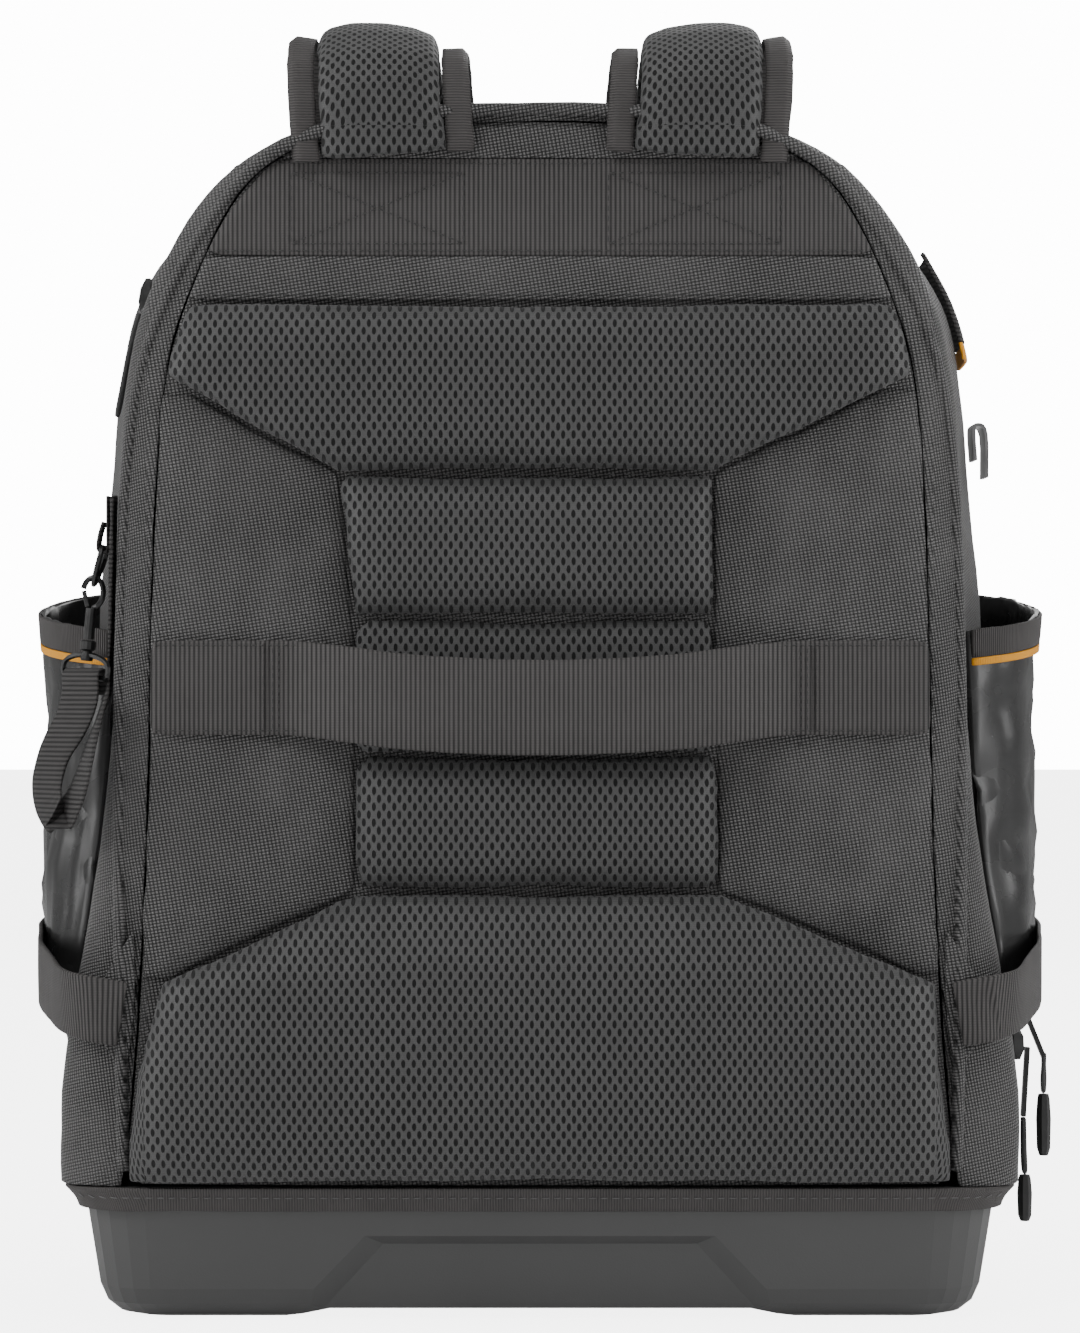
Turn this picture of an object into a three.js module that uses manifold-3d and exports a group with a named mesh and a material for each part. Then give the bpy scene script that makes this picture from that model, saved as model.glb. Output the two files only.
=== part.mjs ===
// Tool backpack on a rigid moulded tray, standing up, with its padded back panel towards -Y.
// Millimetres, +Z up, +X to the right of someone who looks at the back panel. A fabric body stands
// on the tray: a padded back panel, a rear gusset with a rolled edge, a zip, and a front shell with
// side pockets and a front pocket. Two shoulder straps are thrown over the top, buckled at the
// front to webbing that runs back round the side pockets to the lower corners of the back panel.

import * as THREE from "three";
import { mergeVertices } from "three/addons/utils/BufferGeometryUtils.js";
import Module from "manifold-3d";

const wasm = await Module();
wasm.setup();

// Clearance between pieces that are sewn or seated on each other, and thicknesses of the goods
const GAP = 0.3;
const CLOTH = 2;
const COATED_CLOTH = 1.8;
const WEB_THICK = 1.8;
const TAPE_THICK = 1.4;

// Fabric body: half width at mid height, floor of the cloth, top of the rear gusset, depth
const BODY_HALF = 165;
const BODY_LOW = 52;
const BODY_TOP = 468.7;
const BODY_DEPTH = 196;
const GUSSET_DEPTH = 45;
const GUSSET_WALL = 3;
const SHELL_SEAM = 178;
const ZIP_WIDTH = 8;
const ZIP_RIDGE = 1.4;
const FACE_CROWN = 6;

// Moulded tray
const TRAY_HALF_WIDTH = 176.5;
const TRAY_DEPTH = 204;
const TRAY_DRAFT = 8;
const TRAY_WALL = 3;
const TRAY_FLOOR = 8;
const TRAY_CORNER = 25;
const TRAY_EDGE_RADIUS = 12;
const RECESS_DEPTH = 4;
const RECESS_FOOT = 98;
const RECESS_HEAD = 67;
const RECESS_HEIGHT = 32.8;
const RECESS_BEVEL = 7;
const ARCH_HEIGHT = 4;
const ARCH_HALF = 81;
const ARCH_RUN = 17;
const RIM_TAPE_HEIGHT = 9;
const RIM_TAPE_FLARE = 6;

// Back panel
const BOARD_THICK = 5;
const PAD_RISE = 11.5;
const LUMBAR_RISE = 20;
const PAD_RIM = 0.8;
const PAD_SHOULDER = 17;
const LUMBAR_SHOULDER = 30;
const WING_RISE = 3;
const WING_SHOULDER = 24;
const STRIP_HEIGHT = 17;
const YOKE_BAND = 37;
const TROLLEY_WIDTH = 36;
const TROLLEY_SPAN = 103;
const TROLLEY_BULGE = 14;
const TROLLEY_DROOP = 7.5;

// Shoulder straps
const STRAP_CENTRE = 59.5;
const STRAP_CORE_HALF = 24;
const STRAP_CORE_RISE = 10;
const STRAP_BACKING = 3;
const STRAP_EDGE_WIDTH = 10.5;
const STRAP_EDGE_THICK = 4.6;
const STRAP_ARCH_RISE = 21.3;
const STRAP_ROLL = 0.06;
const STRAP_SPLAY = 2.5;
const STRAP_END = 215;
const BUCKLE_LENGTH = 30;
const BUCKLE_HALF = 17;
const BUCKLE_THICK = 4;
const SIDE_WEB_WIDTH = 25;

// Side pockets and front pocket
const POCKET_BACK = 58;
const POCKET_FRONT = 172;
const POCKET_LOW = 101;
const POCKET_RIM = 265;
const POCKET_RISE = 17;
const POCKET_HALF = 202;
const POCKET_TAPE = 11;
const PIPING = 3;
const FRONT_POCKET_HALF = 112;
const FRONT_POCKET_TOP = 262;
const FRONT_POCKET_DEPTH = 13;

// Small hardware and cords
const RING_WIRE = 2.2;
const RING_BAR = 20;
const RING_DROP = 16.3;
const RING_TILT = 3.9;
const HOOK_HALF = 3.9;
const HOOK_REACH = 5.9;
const HOOK_RISE = 18;
const BARREL_RADIUS = 2.1;
const BARREL_TOP = 12;
const COLLAR_RADIUS = 3;
const HOOK_LEAN = 5.5;
const EYE_WIDTH = 25;
const EYE_HEIGHT = 8;
const EYE_TURN = 35;
const LOOP_WIDTH = 18;
const LOOP_THICK = 1.4;
const TAB_CLOTH = 1;
const PULL_CORD = 1.9;
const SLIDER_LENGTH = 13;
const SLIDER_WIDTH = 9;
const SLIDER_THICK = 4;
const TAB_WIDTH = 5;
const TAB_THICK = 1.8;
const GRIP_WIDTH = 9;
const GRIP_THICK = 6;
const CLIP_STEEL = 1.4;
const CLIP_STANDOFF = 5;
const CLIP_WIDTH = 22;
const CLIP_LENGTH = 21;

const vec = (x = 0, y = 0, z = 0) => new THREE.Vector3(x, y, z);
const mix = THREE.MathUtils.lerp;
const radians = THREE.MathUtils.degToRad;

// Materials: colour, roughness, metalness
const FINISHES = {
  nylon: [0x3f3f40, 0.85, 0],
  mesh: [0x3d3f3f, 0.9, 0],
  webbing: [0x4a4745, 0.8, 0],
  binding: [0x4c4846, 0.85, 0],
  coated: [0x3a3a3c, 0.4, 0],
  piping: [0xf6a81c, 0.6, 0],
  base: [0x555354, 0.5, 0],
  plastic: [0x1f1f20, 0.5, 0],
  rubber: [0x2c2c2d, 0.7, 0],
  cord: [0x2f2f30, 0.8, 0],
  zip: [0x2b2b2c, 0.6, 0],
  blackMetal: [0x1c1c1e, 0.35, 1],
  steel: [0x9a9a9c, 0.25, 1],
};
const materials = {};
for (const [name, [color, roughness, metalness]] of Object.entries(FINISHES))
  materials[name] = new THREE.MeshStandardMaterial({ color, roughness, metalness });

const backpack = new THREE.Group();
backpack.name = "tool_backpack";

function add(name, geometry, material, parent = backpack) {
  const mesh = new THREE.Mesh(geometry, material);
  mesh.name = name;
  parent.add(mesh);
}

// Each side of the bag, with the sign of its X
const SIDES = { left: -1, right: 1 };

// Surfaces and solids

// A geometry of indexed triangles, turned to face outwards.
function outward(points, index) {
  let volume = 0;
  for (let i = 0; i < index.length; i += 3)
    volume += points[index[i]].dot(vec().crossVectors(points[index[i + 1]], points[index[i + 2]]));
  if (volume < 0) index.reverse();
  return new THREE.BufferGeometry().setFromPoints(points).setIndex(index);
}

// A closed surface through equal rings of points, capped by the triangles that each end lists, or
// joined end to end when there are none.
function skin(rings, first = null, last = first) {
  const count = rings[0].length;
  const bands = first ? rings.length - 1 : rings.length;
  const index = [];
  for (let r = 0; r < bands; r++) {
    const near = r * count;
    const far = ((r + 1) % rings.length) * count;
    for (let i = 0; i < count; i++) {
      const j = (i + 1) % count;
      index.push(near + i, near + j, far + j, near + i, far + j, far + i);
    }
  }
  const end = (rings.length - 1) * count;
  for (const [a, b, c] of first ?? []) index.push(c, b, a);
  for (const [a, b, c] of last ?? []) index.push(end + a, end + b, end + c);
  return outward(rings.flat(), index);
}

// Twice the signed area of a polygon of [u, v] points.
function area(points) {
  return points.reduce((sum, [u, v], i) => {
    const [p, q] = points[(i + 1) % points.length];
    return sum + u * q - p * v;
  }, 0);
}

// Triangles that fill a polygon of [u, v] points, turning the same way as the polygon does.
function fill(points) {
  const flat = points.map(([u, v]) => new THREE.Vector2(u, v));
  const turn = Math.sign(area(points));
  return THREE.ShapeUtils.triangulateShape(flat, []).map(([a, b, c]) =>
    Math.sign(area([points[a], points[b], points[c]])) === turn ? [a, b, c] : [a, c, b],
  );
}

// A closed wall between two grids of points of the same size, given row by row.
function wall(front, back) {
  const columns = front[0].length;
  const rings = front.map((row, i) => [...row, ...[...back[i]].reverse()]);
  const caps = [];
  for (let i = 0; i < columns - 1; i++) {
    const [a, b] = [2 * columns - 1 - i, 2 * columns - 2 - i];
    caps.push([i, i + 1, b], [i, b, a]);
  }
  return skin(rings, caps);
}

// A flat plate with an outline of [x, z] points, between two depths.
function plate(outlineXZ, near, far) {
  const rings = [near, far].map((y) => outlineXZ.map(([x, z]) => vec(x, y, z)));
  return skin(rings, fill(outlineXZ));
}

function toSolid(geometry) {
  const bare = geometry.clone();
  bare.deleteAttribute("normal");
  bare.deleteAttribute("uv");
  const merged = mergeVertices(bare, 1e-3);
  return new wasm.Manifold(
    new wasm.Mesh({
      numProp: 3,
      vertProperties: new Float32Array(merged.attributes.position.array),
      triVerts: new Uint32Array(merged.index.array),
    }),
  );
}

function toGeometry(solid) {
  const { vertProperties, triVerts } = solid.getMesh();
  return new THREE.BufferGeometry()
    .setAttribute("position", new THREE.BufferAttribute(vertProperties, 3))
    .setIndex(new THREE.BufferAttribute(triVerts, 1));
}

const cut = (whole, ...tools) =>
  toGeometry(tools.reduce((left, tool) => left.subtract(toSolid(tool)), toSolid(whole)));
const join = (...pieces) => toGeometry(pieces.map(toSolid).reduce((all, next) => all.add(next)));

function block(low, high) {
  const size = high.clone().sub(low);
  const middle = low.clone().add(high).multiplyScalar(0.5);
  return new THREE.BoxGeometry(size.x, size.y, size.z).translate(middle.x, middle.y, middle.z);
}

const smooth = (points, loop = false) => new THREE.CatmullRomCurve3(points, loop, "centripetal");

// Frames along a smooth line through rows {at, across}: across is the section's width direction.
function frames(rows, steps) {
  const line = smooth(rows.map((row) => row.at));
  const lean = smooth(rows.map((row) => row.across));
  return Array.from({ length: steps + 1 }, (_, i) => {
    const along = line.getTangent(i / steps);
    const out = vec().crossVectors(along, lean.getPoint(i / steps)).normalize();
    return { at: line.getPoint(i / steps), across: vec().crossVectors(out, along).normalize(), out };
  });
}

// A section of [u, v] points carried along frames: each lies u across and v out.
function sweep(rows, section) {
  const rings = rows.map(({ at, across, out }) =>
    section.map(([u, v]) => at.clone().addScaledVector(across, u).addScaledVector(out, v)),
  );
  return skin(rings, fill(section));
}

const ribbon = (width, thick) => [
  [-width / 2, -thick / 2],
  [width / 2, -thick / 2],
  [width / 2, thick / 2],
  [-width / 2, thick / 2],
];

// Points round a circle, as [u, v]
const circle = (radius, sides, start = 0) =>
  Array.from({ length: sides }, (_, i) => {
    const a = ((start + i) * 2 * Math.PI) / sides;
    return [radius * Math.cos(a), radius * Math.sin(a)];
  });

// A round rod along a curve, extruded from an eight-sided section.
function rod(curve, radius, steps) {
  const section = new THREE.Shape(circle(radius, 8).map(([u, v]) => new THREE.Vector2(u, v)));
  return new THREE.ExtrudeGeometry(section, { extrudePath: curve, steps, bevelEnabled: false });
}

// A closed ring of six-sided rod through points.
function loopRod(points, radius, steps) {
  const line = smooth(points, true);
  const { normals, binormals } = line.computeFrenetFrames(steps, true);
  const rings = Array.from({ length: steps }, (_, i) =>
    circle(radius, 6).map(([u, v]) =>
      line.getPointAt(i / steps).addScaledVector(normals[i], u).addScaledVector(binormals[i], v),
    ),
  );
  return skin(rings);
}

// A table's row at a place between two of its rows, worked out column by column.
function between(rows, key, place) {
  const found = rows.findIndex((row) => row[key] >= place);
  const next = found < 0 ? rows.length - 1 : Math.max(1, found);
  const [a, b] = [rows[next - 1], rows[next]];
  const t = THREE.MathUtils.clamp((place - a[key]) / (b[key] - a[key]), 0, 1);
  return Object.fromEntries(Object.keys(a).map((name) => [name, mix(a[name], b[name], t)]));
}

// Fabric body

const up = (share) => mix(BODY_LOW, BODY_TOP, share);
const deep = (share) => share * BODY_DEPTH;

// Right half of the body's outline from its floor to the middle of its top, at four depths: the
// seam with the back panel, the rear gusset, the belly with the side pockets, and the front face.
// Each pair is a share of the half width, and a share of the height above the floor of the cloth.
const OUTLINE = [
  { seam: [0.982, 0], rear: [1.121, 0], belly: [1.091, 0], face: [0.988, 0] },
  { seam: [0.964, 0.067], rear: [1.127, 0.067], belly: [1.109, 0.067], face: [1.006, 0.067] },
  { seam: [0.948, 0.134], rear: [1.109, 0.134], belly: [1.115, 0.134], face: [1.012, 0.134] },
  { seam: [0.93, 0.286], rear: [1.036, 0.286], belly: [1.115, 0.271], face: [1.018, 0.271] },
  { seam: [0.921, 0.391], rear: [1, 0.391], belly: [1.115, 0.391], face: [1.018, 0.379] },
  { seam: [0.918, 0.523], rear: [0.991, 0.523], belly: [1.109, 0.511], face: [1.006, 0.475] },
  { seam: [0.908, 0.631], rear: [0.985, 0.631], belly: [1.067, 0.631], face: [0.97, 0.571] },
  { seam: [0.893, 0.722], rear: [0.973, 0.722], belly: [1.052, 0.72], face: [0.921, 0.643] },
  { seam: [0.869, 0.778], rear: [0.952, 0.778], belly: [1.042, 0.778], face: [0.867, 0.691] },
  { seam: [0.818, 0.83], rear: [0.906, 0.833], belly: [1.012, 0.826], face: [0.788, 0.73] },
  { seam: [0.758, 0.888], rear: [0.83, 0.888], belly: [0.945, 0.871], face: [0.679, 0.758] },
  { seam: [0.667, 0.938], rear: [0.727, 0.936], belly: [0.83, 0.9], face: [0.533, 0.778] },
  { seam: [0.558, 0.96], rear: [0.576, 0.973], belly: [0.655, 0.917], face: [0.364, 0.787] },
  { seam: [0.315, 0.978], rear: [0.315, 0.992], belly: [0.376, 0.924], face: [0.206, 0.791] },
  { seam: [0, 0.985], rear: [0, 1], belly: [0, 0.926], face: [0, 0.792] },
];

// How much of each outline counts at each share of the depth. The gusset rolls out from its seam.
const DEPTHS = [
  { depth: 0, seam: 1, rear: 0, belly: 0, face: 0 },
  { depth: 0.015, seam: 0.45, rear: 0.55, belly: 0, face: 0 },
  { depth: 0.041, seam: 0.12, rear: 0.88, belly: 0, face: 0 },
  { depth: 0.071, seam: 0, rear: 1, belly: 0, face: 0 },
  { depth: 0.25, seam: 0, rear: 1, belly: 0, face: 0 },
  { depth: 0.41, seam: 0, rear: 0.5, belly: 0.5, face: 0 },
  { depth: 0.57, seam: 0, rear: 0, belly: 1, face: 0 },
  { depth: 0.77, seam: 0, rear: 0, belly: 0.72, face: 0.28 },
  { depth: 0.92, seam: 0, rear: 0, belly: 0.3, face: 0.7 },
  { depth: 1, seam: 0, rear: 0, belly: 0, face: 1 },
];

// The body's outline at depth y, moved in by inset, from its left foot over the top to its right.
function outline(y, inset = 0) {
  const weight = between(DEPTHS, "depth", y / BODY_DEPTH);
  const half = OUTLINE.map((row) => {
    let [x, z] = [0, 0];
    for (const name of Object.keys(row)) {
      x += weight[name] * row[name][0];
      z += weight[name] * row[name][1];
    }
    return [x * BODY_HALF, up(z)];
  });
  const line = [...half.map(([x, z]) => [-x, z]), ...half.slice(0, -1).reverse()];
  return line.map(([x, z], i) => {
    const [ax, az] = line[Math.max(0, i - 1)];
    const [bx, bz] = line[Math.min(line.length - 1, i + 1)];
    const length = Math.hypot(bx - ax, bz - az);
    return vec(x + (inset * (bz - az)) / length, y, z - (inset * (bx - ax)) / length);
  });
}

const rightHalf = (y, inset) => outline(y, inset).slice(OUTLINE.length - 1);

// Half width of the body at depth y and height z, moved in by inset.
const halfAt = (y, z, inset = 0) => between(rightHalf(y, inset).reverse(), "z", z).x;

// Height of the body's top at depth y, x from its middle.
const topAt = (x, y) => between(rightHalf(y), "x", x).z;

// A strip that runs along the body's outline: each row gives its depth, and how far its outer and
// its inner face lie inside the outline.
const outlineStrip = (rows) =>
  wall(
    rows.map(([y, outer]) => outline(y, outer)),
    rows.map(([y, , inner]) => outline(y, inner)),
  );

const bodyDepths = DEPTHS.map((row) => deep(row.depth));
const gussetDepths = [...bodyDepths.filter((y) => y < GUSSET_DEPTH - 5), GUSSET_DEPTH - GAP];
add("back_gusset", outlineStrip(gussetDepths.map((y) => [y, 0, GUSSET_WALL])), materials.nylon);

// Zip tape with the raised chain of teeth along its middle
const zipMiddle = GUSSET_DEPTH + ZIP_WIDTH / 2;
const chain = ZIP_WIDTH / 7;
const ZIP_TAPE = { outer: 0.4, inner: 1.6 };
add(
  "main_zip",
  outlineStrip([
    [GUSSET_DEPTH, ZIP_TAPE.outer, ZIP_TAPE.inner],
    [zipMiddle - chain, -ZIP_RIDGE, ZIP_TAPE.inner],
    [zipMiddle + chain, -ZIP_RIDGE, ZIP_TAPE.inner],
    [GUSSET_DEPTH + ZIP_WIDTH, ZIP_TAPE.outer, ZIP_TAPE.inner],
  ]),
  materials.zip,
);

// The front face bulges: rise at each share of the way from its middle to its edge.
const CROWN = [
  { share: 0, rise: 1 },
  { share: 0.35, rise: 1 },
  { share: 0.7, rise: 0.82 },
  { share: 0.92, rise: 0.4 },
  { share: 1, rise: 0 },
];

// Hood of the body from a depth to its crowned face, moved in by inset, with its own floor.
function hood(inset, from, floor) {
  const depths = bodyDepths.filter((y) => y > from + 5 && y < BODY_DEPTH);
  const rings = [from, ...depths].map((y) => outline(y, inset));
  const face = outline(BODY_DEPTH, inset).map((p) => p.setY(BODY_DEPTH - inset));
  for (const { share, rise } of CROWN.slice(1).reverse())
    rings.push(face.map((p) => vec(p.x * share, p.y + rise * FACE_CROWN, mix(BODY_LOW, p.z, share))));
  for (const ring of rings) {
    ring[0].z = floor;
    ring.at(-1).z = floor;
  }
  const flat = (ring) => fill(ring.map((p) => [p.x, p.z]));
  return skin(rings, flat(rings[0]), flat(rings.at(-1)));
}

// The hood is sewn from a side gusset and a front shell, which meet at a seam round the body.
const shellStart = GUSSET_DEPTH + ZIP_WIDTH + GAP;
const clothHood = cut(hood(0, shellStart, BODY_LOW), hood(CLOTH, shellStart - 1, BODY_LOW - 20));
const seamBack = SHELL_SEAM - GAP / 2;
const seamFront = SHELL_SEAM + GAP / 2;
const ahead = block(vec(-2 * BODY_HALF, seamBack, 0), vec(2 * BODY_HALF, 2 * BODY_DEPTH, 2 * BODY_TOP));
const behind = block(vec(-2 * BODY_HALF, 0, 0), vec(2 * BODY_HALF, seamFront, 2 * BODY_TOP));
add("side_gusset", cut(clothHood, ahead), materials.nylon);
add("front_shell", cut(clothHood, behind), materials.nylon);

// Depth of the front face's surface at a place on it.
function faceAt(x, z) {
  const polar = rightHalf(BODY_DEPTH).map((p) => ({
    turn: Math.atan2(p.z - BODY_LOW, p.x),
    far: Math.hypot(p.x, p.z - BODY_LOW),
  }));
  const turn = Math.atan2(z - BODY_LOW, Math.abs(x));
  const share = Math.hypot(x, z - BODY_LOW) / between(polar.reverse(), "turn", turn).far;
  return BODY_DEPTH + FACE_CROWN * between(CROWN, "share", share).rise;
}

// Moulded tray

const TRAY_HEIGHT = BODY_LOW - GAP;
const trayMiddle = TRAY_DEPTH / 2;

// A rounded rectangle about the tray's middle, grown by the given amounts, at height z.
function trayRing(growX, growY, z, steps = 5) {
  const corner = Math.max(4, TRAY_CORNER + Math.min(growX, growY) * 0.6);
  const points = [];
  for (let quarter = 0; quarter < 4; quarter++) {
    const sx = quarter === 0 || quarter === 3 ? 1 : -1;
    const sy = quarter < 2 ? 1 : -1;
    for (let i = 0; i <= steps; i++) {
      const a = ((quarter + i / steps) * Math.PI) / 2;
      const x = sx * (TRAY_HALF_WIDTH + growX - corner) + corner * Math.cos(a);
      const y = sy * (trayMiddle + growY - corner) + corner * Math.sin(a);
      points.push(vec(x, trayMiddle + y, z));
    }
  }
  return points;
}

const trayDraw = (z) => (TRAY_DRAFT * (TRAY_HEIGHT - z)) / TRAY_HEIGHT;

// Form of the tray, moved in by inset: drafted walls over a rounded lower edge.
function trayForm(inset, low, high) {
  const edge = Math.max(2, TRAY_EDGE_RADIUS - inset);
  const rows = [0, 30, 60, 90].map((degrees) => ({
    z: low + edge * (1 - Math.cos(radians(degrees))),
    inset: inset + edge * (1 - Math.sin(radians(degrees))),
  }));
  rows.push({ z: high, inset });
  const rings = rows.map((row) => {
    const draw = row.inset + trayDraw(row.z);
    return trayRing(-draw, -draw, row.z);
  });
  return skin(rings, fill(rings[0].map((p) => [p.x, p.y])));
}

// A trapezoid sunk into the tray's rear (-1) or front (1) wall and open below, grown on all sides.
function recess(side, grow) {
  const face = (depth, shrink) => {
    const head = RECESS_HEAD - shrink + grow;
    const foot = RECESS_FOOT - shrink * 1.6 + grow;
    const high = RECESS_HEIGHT - shrink * 0.5 + grow;
    const low = -ARCH_HEIGHT;
    const flank = foot + ((foot - head) * -low) / high;
    const y = (z) => trayMiddle + side * (trayMiddle - trayDraw(z) - depth - grow);
    return [
      vec(-flank, y(low), low),
      vec(flank, y(low), low),
      vec(head, y(high), high),
      vec(-head, y(high), high),
    ];
  };
  const rings = [face(-20 - grow, 0), face(-grow, 0), face(RECESS_DEPTH, RECESS_BEVEL)];
  return skin(rings, [[0, 1, 2], [0, 2, 3]]);
}

// A shallow arch right under the tray leaves two long feet.
function underArch() {
  const profile = [
    [-ARCH_HALF - ARCH_RUN * 1.25, -ARCH_HEIGHT / 4],
    [ARCH_HALF + ARCH_RUN * 1.25, -ARCH_HEIGHT / 4],
    [ARCH_HALF, ARCH_HEIGHT],
    [-ARCH_HALF, ARCH_HEIGHT],
  ];
  const rings = [-50, BODY_DEPTH + 50].map((y) => profile.map(([x, z]) => vec(x, y, z)));
  return skin(rings, fill(profile));
}

const trayInside = cut(
  trayForm(TRAY_WALL, TRAY_FLOOR, TRAY_HEIGHT + 10),
  recess(-1, TRAY_WALL),
  recess(1, TRAY_WALL),
);
add(
  "base_tray",
  cut(trayForm(0, 0, TRAY_HEIGHT), trayInside, recess(-1, 0), recess(1, 0), underArch()),
  materials.base,
);

// Binding sewn round the tray's rim, flared out to carry the body's cloth.
const RIM_ROWS = [
  { height: 0, out: 0.15 },
  { height: 0.4, out: 0.35 },
  { height: 0.85, out: 1 },
  { height: 1, out: 0.95 },
];
function rimBinding() {
  const ring = (height, out) => {
    const z = mix(TRAY_HEIGHT - RIM_TAPE_HEIGHT, TRAY_HEIGHT, height);
    return trayRing(GAP + out, GAP + out * 0.5, z);
  };
  const outer = RIM_ROWS.map((row) => ring(row.height, TAPE_THICK + row.out * RIM_TAPE_FLARE));
  const rings = [ring(0, 0), ...outer, ring(1, 0)];
  return skin(rings[0].map((_, i) => rings.map((line) => line[i])));
}
add("base_binding", rimBinding(), materials.binding);

// Back panel

// Half width inside the gusset at the back panel, at height z
const seamAt = (z) => halfAt(0, z, GUSSET_WALL + GAP);
const boardLine = outline(0, GUSSET_WALL + GAP).map((p) => [p.x, Math.max(BODY_LOW + GAP, p.z)]);
add("back_panel", plate(boardLine, 0, BOARD_THICK), materials.nylon);

// Heights of the back panel's cross seams, as shares of the body's height
const SEAM_HEIGHTS = { lumbar: 0.272, lower: 0.395, middle: 0.521, upper: 0.652, top: 0.811 };

// Edges of the padded hourglass: share of the half width at each share of the height. Beyond the
// seam the pads end at the seam.
const HOURGLASS = [
  { height: 0, left: 1.2, right: 1.2 },
  { height: 0.108, left: 0.944, right: 0.958 },
  { height: 0.187, left: 0.879, right: 0.927 },
  { height: 0.272, left: 0.427, right: 0.415 },
  { height: 0.521, left: 0.432, right: 0.406 },
  { height: 0.652, left: 0.467, right: 0.4 },
  { height: 0.742, left: 0.894, right: 0.861 },
  { height: 0.811, left: 1.2, right: 1.2 },
];
function padEdge(side, z) {
  const row = between(HOURGLASS, "height", (z - BODY_LOW) / (BODY_TOP - BODY_LOW));
  return side * Math.min((side < 0 ? row.left : row.right) * BODY_HALF, seamAt(z) - GAP);
}

// Places across the two rounded shoulders of a cushion, close together at its edges.
const SHOULDER_STEPS = [0, 0.1, 0.4, 1];
const shoulderRun = (from, to, shoulder) => Math.min(shoulder, (to - from) * 0.45);
function shoulders(from, to, shoulder) {
  const run = shoulderRun(from, to, shoulder);
  const near = SHOULDER_STEPS.map((s) => from + s * run);
  return [near, near.map((place) => from + to - place).reverse()];
}
const dome = (distance, run) =>
  Math.sqrt(1 - (1 - THREE.MathUtils.clamp(distance / run, 0, 1)) ** 2);

// A cushion sewn down round its edges, from left(z) to right(z) and from low to high. It rises
// from its rim to its full height over quarter-round shoulders, with a row at each break.
function cushion({ low, high, left, right, rise, shoulder, breaks }) {
  const [nearZ, farZ] = shoulders(low, high, shoulder);
  const inside = breaks.filter((z) => z > nearZ.at(-1) + 1 && z < farZ[0] - 1);
  const grid = [...nearZ, ...inside, ...farZ].map((z) => {
    const [near, far] = shoulders(left(z), right(z), shoulder);
    return [...near, mix(near.at(-1), far[0], 0.5), ...far].map((x) => [x, z]);
  });
  const height = ([x, z]) => {
    const domeZ = dome(Math.min(z - low, high - z), shoulderRun(low, high, shoulder));
    const runX = shoulderRun(left(z), right(z), shoulder);
    return PAD_RIM + rise * domeZ * dome(Math.min(x - left(z), right(z) - x), runX);
  };
  return wall(
    grid.map((row) => row.map((place) => vec(place[0], -GAP - height(place), place[1]))),
    grid.map((row) => row.map(([x, z]) => vec(x, -GAP, z))),
  );
}

// Cushions from the bottom up: the seams below and above each, and its share of the pads' rise
const PADS = [
  { name: "pad_bottom", low: 0.001, high: SEAM_HEIGHTS.lumbar, lumbar: true },
  { name: "pad_lower", low: SEAM_HEIGHTS.lumbar, high: SEAM_HEIGHTS.lower },
  { name: "pad_middle", low: SEAM_HEIGHTS.lower, high: SEAM_HEIGHTS.middle, rise: 0.55 },
  { name: "pad_upper", low: SEAM_HEIGHTS.middle, high: SEAM_HEIGHTS.upper },
  { name: "pad_top", low: SEAM_HEIGHTS.upper, high: SEAM_HEIGHTS.top },
];
const hourglassBreaks = HOURGLASS.map((row) => up(row.height));
for (const { name, low, high, lumbar, rise = 1 } of PADS)
  add(
    name,
    cushion({
      low: up(low) + GAP,
      high: up(high) - GAP,
      left: (z) => padEdge(-1, z),
      right: (z) => padEdge(1, z),
      rise: rise * (lumbar ? LUMBAR_RISE : PAD_RISE),
      shoulder: lumbar ? LUMBAR_SHOULDER : PAD_SHOULDER,
      breaks: hourglassBreaks,
    }),
    materials.mesh,
  );

// Cloth wings fill the waist of the hourglass on both sides, between these shares of the height.
const WINGS = { left: [0.192, 0.724], right: [0.197, 0.728] };
for (const [name, side] of Object.entries(SIDES)) {
  const inner = (z) => padEdge(side, z) + side * GAP;
  const outer = (z) => side * (seamAt(z) - GAP);
  add(
    `wing_${name}`,
    cushion({
      low: up(WINGS[name][0]),
      high: up(WINGS[name][1]),
      left: side < 0 ? outer : inner,
      right: side < 0 ? inner : outer,
      rise: WING_RISE,
      shoulder: WING_SHOULDER,
      breaks: [...hourglassBreaks, up(0.4)].sort((a, b) => a - b),
    }),
    materials.nylon,
  );
}

// A flat strip across the back panel, seam to seam, between two heights.
function crossStrip(low, high, thick) {
  const rows = [0, 0.5, 1].map((t) => mix(low, high, t));
  const grid = (y) => rows.map((z) => [-1, 1].map((side) => vec(side * (seamAt(z) - GAP), y, z)));
  return wall(grid(-GAP - thick), grid(-GAP));
}
const stripLow = up(SEAM_HEIGHTS.top);
const yokeLow = stripLow + STRIP_HEIGHT;
const yokeHigh = yokeLow + YOKE_BAND;
const yokeTop = topAt(0, 0) - GUSSET_WALL - 3;
add("upper_strip", crossStrip(stripLow + GAP, yokeLow - GAP, CLOTH), materials.nylon);
add("top_band", crossStrip(yokeLow, yokeHigh, WEB_THICK), materials.webbing);
add("top_yoke", crossStrip(yokeHigh + GAP, yokeTop, CLOTH), materials.nylon);

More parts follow.
